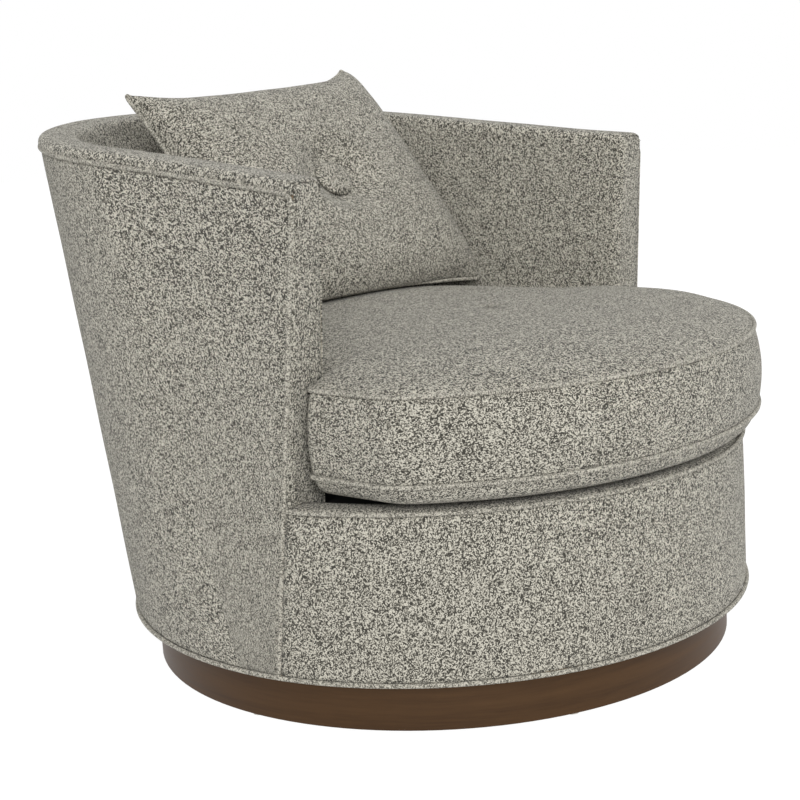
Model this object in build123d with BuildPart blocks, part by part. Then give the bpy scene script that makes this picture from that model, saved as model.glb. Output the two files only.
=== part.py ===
from build123d import *
from math import cos, radians, sin, sqrt
import os

# Swivel barrel chair in millimetres. The origin is where the swivel axis meets the floor.
# +Z is up, -Y is the front of the seat, +X is the sitter's left side.

# --- Driving dimensions: plinth and swivel -------------------------------------------------
glide_stand = 2.0                # how far the glides hold the plinth off the floor
glide_radius = 8.0
glide_pin_radius = 2.0
glide_pin_length = 12.0
glide_count = 6
hoop_radius = 389.5              # outside of the bent plinth hoop
hoop_wall = 19.0
hoop_top = 64.0
plinth_board_bottom = 36.0
plinth_board_thickness = 18.0
rivet_access_radius = 35.0       # hole in the plinth board under the centre rivet
batten_width = 30.0
block_count = 8
block_length = 60.0
block_depth = 25.0
swivel_radius = 152.0            # round steel swivel plates
swivel_plate_thickness = 4.5
race_radius = 130.0              # pitch circle of the balls
ball_radius = 4.0
ball_clearance = 0.05
ball_count = 24
cage_thickness = 2.0
cage_half_width = 9.0
rivet_radius = 12.0
rivet_clearance = 0.08
rivet_flange_radius = 18.0
rivet_flange_thickness = 3.0
rivet_end_play = 0.3
swivel_screw_count = 8
swivel_screw_pitch_radius = 90.0
swivel_screw_radius = 2.4
swivel_screw_head_radius = 5.0
swivel_screw_head_depth = 2.6
swivel_screw_length = 18.0
swivel_screw_point = 4.0
hoop_rounding = 1.5

# --- Driving dimensions: outside of the barrel body ----------------------------------------
body_drop = 1.5                  # the bottom welt hangs this far below the base board
base_half_width = 415.0          # bottom edge, seen from above
base_side_y = -6.5               # where the bottom edge is widest
base_front_reach = 416.0
base_back_reach = 422.0
arm_front_half_base = 410.8      # half width across the arm fronts at the bottom edge
arm_front_y_base = -68.0
rim_half_width = 359.0           # half width of the rim where the back begins to curve
rim_side_y = 234.0
rim_back_y = 531.0
arm_front_half_rim = 383.0       # half width across the arm fronts at the rim
arm_front_y_rim = -118.0
rim_back_height = 711.0
rim_front_height = 644.0
rail_top = 273.0                 # welted top edge of the front rail
rail_reach = 415.0

# --- Driving dimensions: space inside the barrel -------------------------------------------
space_half_width = 309.0         # half width between the inside arms at the back curve
space_mouth_half = 350.0         # half width at the mouth line, in front of the arms
space_mouth_y = -200.0
space_seat_side_y = 150.0
space_seat_back_y = 400.0
space_rim_back_y = 481.0

# --- Driving dimensions: layers ------------------------------------------------------------
cover = 2.0                      # upholstery fabric
outside_board_thickness = 3.0
frame_thickness = 21.0           # posts, uprights and top rail
rail_thickness = 25.0            # seat rails and studs
inside_board_thickness = 3.0
top_padding = 23.0
front_padding = 18.0
post_depth = 45.0
top_rail_depth = 40.0
rail_padding = 10.0
lip_width = 45.0                 # padded lip behind the front rail's welt
base_board_bottom = 67.0
base_board_thickness = 18.0
stud_height = 95.0
rail_height = 64.0
stud_width = 45.0
stud_angles = (0, 30, 62, 90, 118, 150, 180, 215, 250, 290, 325)
upright_width = 40.0
upright_angles = (14, 45, 73, 107, 135, 166)
corner_angles = (22, 158, 191, 349)
corner_block_width = 60.0
corner_block_height = 30.0
corner_block_reach = 340.0       # inner face of the corner blocks, from the body's middle
dust_cover_thickness = 1.0
tack_strip_height = 12.0
rim_rounding = 9.0               # how far down the padded rim's edges are rounded off
rim_draw = 6.5                   # how far in the rounding reaches at the rim
welt_stand = 2.5                 # how far a welt stands out of the fabric
welt_height = 5.0
welt_bite = 1.0                  # how deep a welt's seam sits under the fabric's back
rim_welt_drop = 11.0

# --- Driving dimensions: seat deck ---------------------------------------------------------
spring_count = 5
spring_pitch = 95.0
spring_wire_radius = 1.8
spring_half_width = 22.0
spring_runs = 20                 # cross runs of one zig-zag spring
spring_turn_radius = 10.0
spring_lead = 28.0               # straight wire between a clip and the first cross run
spring_cover = 0.4               # felt above the wire
clip_length = 24.0
clip_width = 14.0
felt_thickness = 3.0
deck_foam_thickness = 10.0
deck_cloth_thickness = 1.2

# --- Driving dimensions: seat cushion ------------------------------------------------------
seat_gap = 0.5                   # air between the cushion and what it rests on
cushion_middle = 358.0           # height of the boxing's middle
boxing_height = 101.0
cushion_crown = 39.0
cushion_underside = 42.0
cushion_neck_half = 306.0
cushion_neck_front_half = 325.0
cushion_neck_side_y = 145.0
cushion_back_y = 412.0
cushion_ear_y = -101.5           # back edge of the ears, in front of the arm fronts
cushion_ear_half = 381.0
cushion_front_y = -440.0
cushion_front_radius = 444.0
cushion_front_corner = 60.0
cushion_ear_corner = 14.0
boxing_draw = 0.985              # share of the full outline at the two welts
crown_profile = ((0.92, 0.48), (0.72, 0.14), (0.35, 0.0))
underside_profile = ((0.72, 0.0), (0.80, 0.36), (0.94, 0.62))
cushion_fabric = 1.5
zip_width = 300.0
zip_height = 8.0
zip_stand = 0.6
slider_width = 8.0
slider_height = 12.0
slider_stand = 3.0

# --- Driving dimensions: pillow ------------------------------------------------------------
pillow_centre = (90.0, 271.0, 603.5)
pillow_yaw = -8.0
pillow_lean = 38.0
pillow_roll = 1.5
pillow_half = 208.5
pillow_crush = 0.91              # share of its reach left to the corner pressed into the cushion
pillow_draw = 14.0               # how far each side is drawn in between the corners
pillow_loft = 55.0               # half thickness at the middle
pillow_fabric = 1.5
tuft_radius = 63.0
tuft_depth = 15.0
button_radius = 29.0
button_thickness = 9.0
button_rounding = 3.5
twine_radius = 1.0
pillow_welt = 3.0                # half height of the sewn edge's welt
pillow_profile = (               # height, share of the outline, drawn-in (+) or bulging (-) sides
    (0.0, 1.0, 1.0),
    (0.26, 0.93, 0.6),
    (0.60, 0.78, -0.1),
    (0.85, 0.58, -1.0),
    (1.0, 0.30, -1.5),
)

# --- Worked-out places ---------------------------------------------------------------------
body_bottom = base_board_bottom
welt_bottom = body_bottom - body_drop
covers_bottom = welt_bottom + welt_height
rim_slope = (rim_back_height - rim_front_height) / (rim_back_y - arm_front_y_rim)
rim_level = rim_back_height - rim_slope * rim_back_y
rim_stretch = sqrt(1 + rim_slope**2)
rim_plane = Plane(origin=(0, 0, rim_level), x_dir=(1, 0, 0), z_dir=(0, -rim_slope, 1))
rim_edge = ((rim_rounding, 0), (0, rim_draw))
arm_lean = (arm_front_y_base - arm_front_y_rim) / (rim_front_height - body_bottom)
arm_plane = Plane(
    origin=(0, arm_front_y_base, body_bottom), x_dir=(1, 0, 0), z_dir=(0, -1, -arm_lean)
)
plinth_board_top = plinth_board_bottom + plinth_board_thickness
upper_plate_bottom = base_board_bottom - swivel_plate_thickness
ball_level = (plinth_board_top + base_board_bottom) / 2
base_board_top = base_board_bottom + base_board_thickness
rail_bottom = base_board_top + stud_height
rail_level = rail_bottom + rail_height
spring_level = rail_level + spring_wire_radius
felt_bottom = spring_level + spring_wire_radius + spring_cover
deck_foam_bottom = felt_bottom + felt_thickness
deck_level = deck_foam_bottom + deck_foam_thickness + deck_cloth_thickness
wall_bottom = deck_foam_bottom
frame_inset = cover + outside_board_thickness
board_inset = frame_inset + frame_thickness
pad_inset = board_inset + inside_board_thickness

os.makedirs("parts", exist_ok=True)


# --- Shapes shared by several pieces -------------------------------------------------------
def barrel_outline(front_half, front_y, side_half, side_y, back_y, stretch=1.0):
    """A chord across the front, two bowed sides and a round back, seen from above."""
    front = front_y * stretch
    side = side_y * stretch
    back = back_y * stretch - side
    with BuildSketch() as outline:
        with BuildLine():
            Line((-front_half, front), (front_half, front))
            TangentArc((side_half, side), (front_half, front), tangent=(0, -1))
            EllipticalCenterArc((0, side), side_half, back, 0, arc_size=90)
            EllipticalCenterArc((0, side), side_half, back, 90, arc_size=90)
            TangentArc((-side_half, side), (-front_half, front), tangent=(0, -1))
        make_face()
    return outline.sketch


def barrel(inset):
    """The barrel's outside form, from the bottom edge to the rim, drawn in by inset."""
    with BuildPart() as form:
        with BuildSketch(Plane.XY.offset(body_bottom)):
            add(barrel_outline(
                arm_front_half_base - inset,
                arm_front_y_base,
                base_half_width - inset,
                base_side_y,
                base_back_reach - inset,
            ))
        for drop, draw in rim_edge:
            with BuildSketch(rim_plane.offset(-drop)):
                add(barrel_outline(
                    arm_front_half_rim - inset - draw,
                    arm_front_y_rim,
                    rim_half_width - inset - draw,
                    rim_side_y,
                    rim_back_y - inset - draw,
                    rim_stretch,
                ))
        loft(ruled=True)
    return form.part


def seat_space(outset):
    """The space between the inside arms and back, grown outwards by outset."""
    with BuildPart() as form:
        with BuildSketch(Plane.XY.offset(wall_bottom)):
            add(barrel_outline(
                space_mouth_half + outset,
                space_mouth_y,
                space_half_width + outset,
                space_seat_side_y,
                space_seat_back_y + outset,
            ))
        for drop, draw in rim_edge:
            with BuildSketch(rim_plane.offset(-drop)):
                add(barrel_outline(
                    space_mouth_half + outset + draw,
                    space_mouth_y,
                    space_half_width + outset + draw,
                    rim_side_y,
                    space_rim_back_y + outset + draw,
                    rim_stretch,
                ))
        loft(ruled=True)
    return form.part


def front_outline(half, front_y, reach):
    """The round front of the body, closed by a chord across the arm fronts."""
    with BuildSketch() as outline:
        with BuildLine():
            ThreePointArc((-half, front_y), (0, -reach), (half, front_y))
            Line((half, front_y), (-half, front_y))
        make_face()
    return outline.sketch


def rail_outline(inset):
    """The welted top edge of the front rail, closed across the arm fronts."""
    share = (rail_top - body_bottom) / (rim_front_height - body_bottom)
    half = arm_front_half_base + (arm_front_half_rim - arm_front_half_base) * share
    front_y = arm_front_y_base + (arm_front_y_rim - arm_front_y_base) * share
    return front_outline(half - inset, front_y, rail_reach - inset)


def front_body(inset):
    """The seat's round front, from the bottom edge to the rail's top, drawn in by inset."""
    with BuildPart() as form:
        with BuildSketch(Plane.XY.offset(body_bottom)):
            add(front_outline(arm_front_half_base - inset, arm_front_y_base, base_front_reach - inset))
        with BuildSketch(Plane.XY.offset(rail_top)):
            add(rail_outline(inset))
        loft(ruled=True)
    return form.part


def slab(bottom, top):
    """A wide flat block between two heights, for cutting other forms."""
    with BuildPart() as form:
        with BuildSketch(Plane.XY.offset(bottom)):
            Rectangle(3 * base_half_width, 3 * base_half_width)
        extrude(amount=top - bottom)
    return form.part


def below_rim(form, depth):
    """What lies more than depth under the rim."""
    with BuildPart() as result:
        add(form)
        split(bisect_by=rim_plane.offset(-depth), keep=Keep.BOTTOM)
    return result.part


def behind_arms(form, depth):
    """What lies more than depth behind the arm fronts."""
    with BuildPart() as result:
        add(form)
        split(bisect_by=arm_plane.offset(-depth), keep=Keep.BOTTOM)
    return result.part


def combine(base, cuts=(), keeps=()):
    """The base form, less each cut, and only inside each keep."""
    with BuildPart() as result:
        add(base)
        for cut in cuts:
            add(cut, mode=Mode.SUBTRACT)
        for keep in keeps:
            add(keep, mode=Mode.INTERSECT)
    return result.part


def joined(*forms):
    """Several touching forms as one."""
    with BuildPart() as result:
        for form in forms:
            add(form)
    return result.part


def radial_blocks(angles, width, bottom, top):
    """Upright blocks that run outwards from the middle of the body at the given angles."""
    with BuildPart() as blocks:
        for angle in angles:
            with BuildSketch(Plane.XY.offset(bottom)):
                with Locations(Location((0, base_side_y, 0), (0, 0, angle))):
                    with Locations((base_front_reach, 0)):
                        Rectangle(base_front_reach, width)
            extrude(amount=top - bottom)
    return blocks.part


# --- Plinth --------------------------------------------------------------------------------
hoop_inner = hoop_radius - hoop_wall
hoop_middle = hoop_radius - hoop_wall / 2

with BuildPart() as floor_glides:
    with PolarLocations(hoop_middle, glide_count):
        Cylinder(glide_radius, glide_stand, align=(Align.CENTER, Align.CENTER, Align.MIN))
    with BuildSketch(Plane.XY.offset(glide_stand)):
        with PolarLocations(hoop_middle, glide_count):
            Circle(glide_pin_radius)
    extrude(amount=glide_pin_length)
    Cylinder(glide_radius, glide_stand, align=(Align.CENTER, Align.CENTER, Align.MIN))
    with BuildSketch(Plane.XY.offset(glide_stand)):
        Circle(glide_pin_radius)
    extrude(amount=glide_pin_length)
floor_glides.part.label = "floor_glides"
export_step(floor_glides.part, "parts/floor_glides.step")

with BuildPart() as plinth_hoop:
    with BuildSketch(Plane.XY.offset(glide_stand)):
        Circle(hoop_radius)
        Circle(hoop_inner, mode=Mode.SUBTRACT)
    extrude(amount=hoop_top - glide_stand)
    fillet(plinth_hoop.edges().filter_by(GeomType.CIRCLE).sort_by(Axis.Z)[-2:], hoop_rounding)
    add(floor_glides.part, mode=Mode.SUBTRACT)
plinth_hoop.part.label = "plinth_hoop"
export_step(plinth_hoop.part, "parts/plinth_hoop.step")

with BuildPart() as long_batten:
    with BuildSketch(Plane.XY.offset(glide_stand)):
        Circle(hoop_inner)
        Rectangle(batten_width, 2 * hoop_inner, mode=Mode.INTERSECT)
    extrude(amount=plinth_board_bottom - glide_stand)
    lap_height = (plinth_board_bottom - glide_stand) / 2
    with BuildSketch(Plane.XY.offset(glide_stand)):
        Rectangle(batten_width, batten_width)
    extrude(amount=lap_height, mode=Mode.SUBTRACT)
long_batten.part.label = "long_batten"
export_step(long_batten.part, "parts/long_batten.step")

with BuildPart() as cross_batten:
    with BuildSketch(Plane.XY.offset(glide_stand)):
        Circle(hoop_inner)
        Rectangle(2 * hoop_inner, batten_width, mode=Mode.INTERSECT)
    extrude(amount=plinth_board_bottom - glide_stand)
    with BuildSketch(Plane.XY.offset(glide_stand + lap_height)):
        Rectangle(batten_width, batten_width)
    extrude(amount=lap_height, mode=Mode.SUBTRACT)
    add(floor_glides.part, mode=Mode.SUBTRACT)
cross_batten.part.label = "cross_batten"
export_step(cross_batten.part, "parts/cross_batten.step")

with BuildPart() as plinth_blocks:
    with BuildSketch(Plane.XY.offset(glide_stand)):
        with PolarLocations(hoop_inner, block_count, start_angle=180 / block_count):
            Rectangle(2 * block_depth, block_length)
        Circle(hoop_inner, mode=Mode.INTERSECT)
    extrude(amount=plinth_board_bottom - glide_stand)
plinth_blocks.part.label = "plinth_blocks"
export_step(plinth_blocks.part, "parts/plinth_blocks.step")


# --- Swivel --------------------------------------------------------------------------------
def countersunk_screws(face_level, direction):
    """A ring of countersunk wood screws: heads flush with face_level, points along direction."""
    with BuildPart() as screws:
        with BuildSketch(Plane.XZ):
            with BuildLine():
                Polyline(
                    (0, face_level),
                    (swivel_screw_head_radius, face_level),
                    (swivel_screw_radius, face_level + direction * swivel_screw_head_depth),
                    (swivel_screw_radius, face_level + direction * (swivel_screw_length - swivel_screw_point)),
                    (0, face_level + direction * swivel_screw_length),
                    (0, face_level),
                )
            make_face()
        revolve(axis=Axis.Z)
    with BuildPart() as ring:
        with PolarLocations(swivel_screw_pitch_radius, swivel_screw_count):
            add(screws.part)
    return ring.part


with BuildPart() as lower_screws:
    add(countersunk_screws(plinth_board_top + swivel_plate_thickness, -1))
lower_screws.part.label = "lower_screws"
export_step(lower_screws.part, "parts/lower_screws.step")

with BuildPart() as upper_screws:
    add(countersunk_screws(upper_plate_bottom, 1))
upper_screws.part.label = "upper_screws"
export_step(upper_screws.part, "parts/upper_screws.step")

with BuildPart() as race:
    with Locations((0, 0, ball_level)):
        Torus(race_radius, ball_radius + ball_clearance)

with BuildPart() as centre_rivet:
    flange_top = plinth_board_top - rivet_end_play
    with BuildSketch(Plane.XY.offset(flange_top - rivet_flange_thickness)):
        Circle(rivet_flange_radius)
    extrude(amount=rivet_flange_thickness)
    with BuildSketch(Plane.XY.offset(flange_top)):
        Circle(rivet_radius)
    extrude(amount=base_board_bottom - flange_top)
centre_rivet.part.label = "centre_rivet"
export_step(centre_rivet.part, "parts/centre_rivet.step")

with BuildPart() as lower_plate:
    with BuildSketch(Plane.XY.offset(plinth_board_top)):
        Circle(swivel_radius)
        Circle(rivet_radius + rivet_clearance, mode=Mode.SUBTRACT)
    extrude(amount=swivel_plate_thickness)
    add(race.part, mode=Mode.SUBTRACT)
    add(lower_screws.part, mode=Mode.SUBTRACT)
lower_plate.part.label = "lower_plate"
export_step(lower_plate.part, "parts/lower_plate.step")

with BuildPart() as upper_plate:
    with BuildSketch(Plane.XY.offset(upper_plate_bottom)):
        Circle(swivel_radius)
        Circle(rivet_radius, mode=Mode.SUBTRACT)
    extrude(amount=swivel_plate_thickness)
    add(race.part, mode=Mode.SUBTRACT)
    add(upper_screws.part, mode=Mode.SUBTRACT)
upper_plate.part.label = "upper_plate"
export_step(upper_plate.part, "parts/upper_plate.step")

with BuildPart() as plinth_board:
    with BuildSketch(Plane.XY.offset(plinth_board_bottom)):
        Circle(hoop_inner)
        Circle(rivet_access_radius, mode=Mode.SUBTRACT)
    extrude(amount=plinth_board_thickness)
    add(lower_screws.part, mode=Mode.SUBTRACT)
plinth_board.part.label = "plinth_board"
export_step(plinth_board.part, "parts/plinth_board.step")

with BuildPart() as swivel_balls:
    with Locations((0, 0, ball_level)):
        with PolarLocations(race_radius, ball_count):
            Sphere(ball_radius)
swivel_balls.part.label = "swivel_balls"
export_step(swivel_balls.part, "parts/swivel_balls.step")

with BuildPart() as ball_cage:
    with BuildSketch(Plane.XY.offset(ball_level - cage_thickness / 2)):
        Circle(race_radius + cage_half_width)
        Circle(race_radius - cage_half_width, mode=Mode.SUBTRACT)
        with PolarLocations(race_radius, ball_count):
            Circle(ball_radius + ball_clearance, mode=Mode.SUBTRACT)
    extrude(amount=cage_thickness)
ball_cage.part.label = "ball_cage"
export_step(ball_cage.part, "parts/ball_cage.step")

# --- Forms of the body ---------------------------------------------------------------------
barrel_proud = barrel(-welt_stand)
barrel_skin = barrel(0)
barrel_board = barrel(cover)
barrel_frame = barrel(frame_inset)
barrel_inside = barrel(board_inset)
barrel_pad = barrel(pad_inset)
barrel_rails = barrel(frame_inset + rail_thickness)
front_skin = front_body(0)
front_pad_form = front_body(cover)
front_board_form = front_body(cover + rail_padding)
front_frame_form = front_body(cover + rail_padding + outside_board_thickness)
front_inside_form = front_body(cover + rail_padding + outside_board_thickness + rail_thickness)
front_lip_form = front_body(lip_width)
front_deck_form = front_body(lip_width + cover)
space = seat_space(0)
space_pad = seat_space(cover)
wall_zone = slab(wall_bottom, rim_back_height + top_padding)
frame_drop = cover + top_padding
frame_setback = cover + front_padding
top_rail_drop = frame_drop + top_rail_depth
welt_drop = rim_welt_drop + welt_height

wall = combine(barrel_board, cuts=[space], keeps=[wall_zone])
padding = below_rim(combine(barrel_frame, cuts=[space_pad], keeps=[wall_zone]), cover)
board_zone = combine(barrel_board, cuts=[barrel_frame])
frame_zone = behind_arms(combine(barrel_frame, cuts=[barrel_inside]), frame_setback)
post_zone = below_rim(combine(frame_zone, keeps=[slab(rail_level, rim_back_height)]), top_rail_drop)
core_zone = below_rim(behind_arms(combine(barrel_frame, cuts=[barrel_pad]), frame_setback), frame_drop)
padded_wall = behind_arms(padding, cover)
covered_wall = behind_arms(wall, cover)
behind_front = behind_arms(slab(0, rim_back_height), 0)


# --- Frame ---------------------------------------------------------------------------------
def welt_ring(inset):
    """The body's whole outline at the bottom edge, drawn in by inset."""
    with BuildSketch() as outline:
        add(barrel_outline(
            arm_front_half_base - inset,
            arm_front_y_base,
            base_half_width - inset,
            base_side_y,
            base_back_reach - inset,
        ))
        add(front_outline(arm_front_half_base - inset, arm_front_y_base, base_front_reach - inset))
    return outline.sketch


with BuildPart() as bottom_welt:
    with BuildSketch(Plane.XY.offset(welt_bottom)):
        add(welt_ring(-welt_stand))
        add(welt_ring(cover + welt_bite), mode=Mode.SUBTRACT)
    extrude(amount=welt_height)
bottom_welt.part.label = "bottom_welt"
export_step(bottom_welt.part, "parts/bottom_welt.step")

with BuildPart() as base_board:
    add(barrel_board)
    add(front_pad_form)
    add(slab(base_board_bottom, base_board_top), mode=Mode.INTERSECT)
    add(upper_screws.part, mode=Mode.SUBTRACT)
    add(bottom_welt.part, mode=Mode.SUBTRACT)
base_board.part.label = "base_board"
export_step(base_board.part, "parts/base_board.step")

with BuildPart() as dust_cover:
    with BuildSketch(Plane.XY.offset(base_board_bottom - dust_cover_thickness)):
        Circle(base_half_width - lip_width / 2)
        Circle(swivel_radius + cage_half_width, mode=Mode.SUBTRACT)
    extrude(amount=dust_cover_thickness)
dust_cover.part.label = "dust_cover"
export_step(dust_cover.part, "parts/dust_cover.step")

side_ring = combine(barrel_frame, cuts=[barrel_rails], keeps=[behind_front])
front_ring = combine(front_frame_form, cuts=[front_inside_form])

with BuildPart() as base_studs:
    add(side_ring)
    add(front_ring)
    add(radial_blocks(stud_angles, stud_width, base_board_top, rail_bottom), mode=Mode.INTERSECT)
base_studs.part.label = "base_studs"
export_step(base_studs.part, "parts/base_studs.step")

with BuildPart() as front_rail:
    add(front_ring)
    add(slab(rail_bottom, rail_level), mode=Mode.INTERSECT)
front_rail.part.label = "front_rail"
export_step(front_rail.part, "parts/front_rail.step")

with BuildPart() as back_rail:
    add(side_ring)
    add(slab(rail_bottom, rail_level), mode=Mode.INTERSECT)
    split(bisect_by=Plane.XZ.offset(-space_seat_side_y), keep=Keep.BOTTOM)
back_rail.part.label = "back_rail"
export_step(back_rail.part, "parts/back_rail.step")

with BuildPart() as side_rails:
    add(side_ring)
    add(slab(rail_bottom, rail_level), mode=Mode.INTERSECT)
    split(bisect_by=Plane.XZ.offset(-space_seat_side_y), keep=Keep.TOP)

with BuildPart() as left_side_rail:
    add(side_rails.part)
    split(bisect_by=Plane.YZ, keep=Keep.TOP)
left_side_rail.part.label = "left_side_rail"
export_step(left_side_rail.part, "parts/left_side_rail.step")

with BuildPart() as right_side_rail:
    add(side_rails.part)
    split(bisect_by=Plane.YZ, keep=Keep.BOTTOM)
right_side_rail.part.label = "right_side_rail"
export_step(right_side_rail.part, "parts/right_side_rail.step")

with BuildPart() as corner_blocks:
    add(barrel_rails)
    add(front_inside_form)
    add(
        radial_blocks(corner_angles, corner_block_width, rail_level - corner_block_height, rail_level),
        mode=Mode.INTERSECT,
    )
    with BuildSketch(Plane.XY.offset(rail_bottom)):
        with Locations((0, base_side_y)):
            Circle(corner_block_reach)
    extrude(amount=rail_height, mode=Mode.SUBTRACT)
corner_blocks.part.label = "corner_blocks"
export_step(corner_blocks.part, "parts/corner_blocks.step")

with BuildPart() as arm_posts:
    add(post_zone)
    add(behind_arms(slab(0, rim_back_height), frame_setback + post_depth), mode=Mode.SUBTRACT)

with BuildPart() as left_arm_post:
    add(arm_posts.part)
    split(bisect_by=Plane.YZ, keep=Keep.TOP)
left_arm_post.part.label = "left_arm_post"
export_step(left_arm_post.part, "parts/left_arm_post.step")

with BuildPart() as right_arm_post:
    add(arm_posts.part)
    split(bisect_by=Plane.YZ, keep=Keep.BOTTOM)
right_arm_post.part.label = "right_arm_post"
export_step(right_arm_post.part, "parts/right_arm_post.step")

with BuildPart() as back_uprights:
    add(post_zone)
    add(
        radial_blocks(upright_angles, upright_width, rail_level, rim_back_height),
        mode=Mode.INTERSECT,
    )
back_uprights.part.label = "back_uprights"
export_step(back_uprights.part, "parts/back_uprights.step")

with BuildPart() as top_rail:
    add(below_rim(frame_zone, frame_drop))
    add(below_rim(frame_zone, top_rail_drop), mode=Mode.SUBTRACT)
top_rail.part.label = "top_rail"
export_step(top_rail.part, "parts/top_rail.step")

with BuildPart() as outside_board:
    add(behind_arms(below_rim(board_zone, welt_drop + tack_strip_height), cover))
    add(slab(base_board_top, rim_back_height), mode=Mode.INTERSECT)
outside_board.part.label = "outside_board"
export_step(outside_board.part, "parts/outside_board.step")

with BuildPart() as tack_strip:
    add(behind_arms(below_rim(board_zone, rim_welt_drop), cover))
    add(below_rim(board_zone, welt_drop + tack_strip_height), mode=Mode.SUBTRACT)
tack_strip.part.label = "tack_strip"
export_step(tack_strip.part, "parts/tack_strip.step")

with BuildPart() as inside_board:
    add(below_rim(behind_arms(combine(barrel_inside, cuts=[barrel_pad]), frame_setback), frame_drop))
    add(slab(felt_bottom, rim_back_height), mode=Mode.INTERSECT)
inside_board.part.label = "inside_board"
export_step(inside_board.part, "parts/inside_board.step")

with BuildPart() as front_board:
    add(front_board_form)
    add(front_frame_form, mode=Mode.SUBTRACT)
    add(slab(base_board_top, rail_level), mode=Mode.INTERSECT)
front_board.part.label = "front_board"
export_step(front_board.part, "parts/front_board.step")


# --- Seat deck -----------------------------------------------------------------------------
def front_rail_y(x):
    """Where the middle of the front rail runs, at a distance x from the centre line."""
    rail_half = arm_front_half_base
    sagitta = rail_reach + arm_front_y_base
    radius = (rail_half**2 + sagitta**2) / (2 * sagitta)
    middle = cover + rail_padding + outside_board_thickness + rail_thickness / 2
    return radius - rail_reach - sqrt((radius - middle)**2 - x**2)


def back_rail_y(x):
    """Where the middle of the back rail runs, at a distance x from the centre line."""
    share = (rail_level - body_bottom) / (rim_back_height - body_bottom)
    middle = frame_inset + rail_thickness / 2
    half = base_half_width + (rim_half_width - base_half_width) * share - middle
    side = base_side_y + (rim_side_y - base_side_y) * share
    back = base_back_reach + (rim_back_y - base_back_reach) * share - middle
    return side + (back - side) * sqrt(1 - (x / half)**2)


def sinuous_spring(x):
    """One zig-zag spring wire that runs from the front rail to the back rail."""
    start = front_rail_y(x)
    end = back_rail_y(x)
    step = (end - start - 2 * spring_lead) / (spring_runs - 1)
    points = [(x, start)]
    side = 0
    for run in range(spring_runs):
        y = start + spring_lead + run * step
        points.append((x + side, y))
        side = spring_half_width if run % 2 == 0 else -spring_half_width
        if run == spring_runs - 1:
            side = 0
        points.append((x + side, y))
    points.append((x, end))
    with BuildPart() as spring:
        with BuildLine(Plane.XY.offset(spring_level)) as wire:
            FilletPolyline(*points, radius=spring_turn_radius)
        with BuildSketch(Plane(origin=(x, start, spring_level), z_dir=(0, 1, 0))):
            Circle(spring_wire_radius)
        sweep(path=wire.line)
    return spring.part


spring_places = [(row - (spring_count - 1) / 2) * spring_pitch for row in range(spring_count)]

with BuildPart() as sinuous_springs:
    for place in spring_places:
        add(sinuous_spring(place))
sinuous_springs.part.label = "sinuous_springs"
export_step(sinuous_springs.part, "parts/sinuous_springs.step")

with BuildPart() as spring_clips:
    for place in spring_places:
        for end_y in (front_rail_y(place), back_rail_y(place)):
            with BuildSketch(Plane.XY.offset(rail_level)):
                with Locations((place, end_y)):
                    Rectangle(clip_width, clip_length)
            extrude(amount=felt_bottom - rail_level)
    add(sinuous_springs.part, mode=Mode.SUBTRACT)
spring_clips.part.label = "spring_clips"
export_step(spring_clips.part, "parts/spring_clips.step")

with BuildPart() as insulator_felt:
    add(combine(barrel_rails, keeps=[behind_front]))
    add(front_lip_form)
    add(slab(felt_bottom, deck_foam_bottom), mode=Mode.INTERSECT)
insulator_felt.part.label = "insulator_felt"
export_step(insulator_felt.part, "parts/insulator_felt.step")

deck_form = joined(behind_arms(space, 0), front_deck_form)

with BuildPart() as deck_foam:
    add(deck_form)
    add(slab(deck_foam_bottom, deck_foam_bottom + deck_foam_thickness), mode=Mode.INTERSECT)
deck_foam.part.label = "deck_foam"
export_step(deck_foam.part, "parts/deck_foam.step")

with BuildPart() as deck_cloth:
    add(deck_form)
    add(slab(deck_foam_bottom + deck_foam_thickness, deck_level), mode=Mode.INTERSECT)
deck_cloth.part.label = "deck_cloth"
export_step(deck_cloth.part, "parts/deck_cloth.step")

# --- Upholstery of the body ----------------------------------------------------------------
with BuildPart() as wall_padding:
    add(padded_wall)
    add(core_zone, mode=Mode.SUBTRACT)

with BuildPart() as back_foam:
    add(wall_padding.part)
    split(bisect_by=Plane.XZ.offset(-space_seat_side_y), keep=Keep.BOTTOM)
back_foam.part.label = "back_foam"
export_step(back_foam.part, "parts/back_foam.step")

with BuildPart() as arm_foams:
    add(wall_padding.part)
    split(bisect_by=Plane.XZ.offset(-space_seat_side_y), keep=Keep.TOP)

with BuildPart() as left_arm_foam:
    add(arm_foams.part)
    split(bisect_by=Plane.YZ, keep=Keep.TOP)
left_arm_foam.part.label = "left_arm_foam"
export_step(left_arm_foam.part, "parts/left_arm_foam.step")

with BuildPart() as right_arm_foam:
    add(arm_foams.part)
    split(bisect_by=Plane.YZ, keep=Keep.BOTTOM)
right_arm_foam.part.label = "right_arm_foam"
export_step(right_arm_foam.part, "parts/right_arm_foam.step")

with BuildPart() as inside_cover:
    add(covered_wall)
    add(padded_wall, mode=Mode.SUBTRACT)
    add(below_rim(board_zone, rim_welt_drop), mode=Mode.SUBTRACT)
inside_cover.part.label = "inside_cover"
export_step(inside_cover.part, "parts/inside_cover.step")

with BuildPart() as arm_front_covers:
    add(wall)
    add(covered_wall, mode=Mode.SUBTRACT)

with BuildPart() as left_arm_front_cover:
    add(arm_front_covers.part)
    split(bisect_by=Plane.YZ, keep=Keep.TOP)
left_arm_front_cover.part.label = "left_arm_front_cover"
export_step(left_arm_front_cover.part, "parts/left_arm_front_cover.step")

with BuildPart() as right_arm_front_cover:
    add(arm_front_covers.part)
    split(bisect_by=Plane.YZ, keep=Keep.BOTTOM)
right_arm_front_cover.part.label = "right_arm_front_cover"
export_step(right_arm_front_cover.part, "parts/right_arm_front_cover.step")

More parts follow.
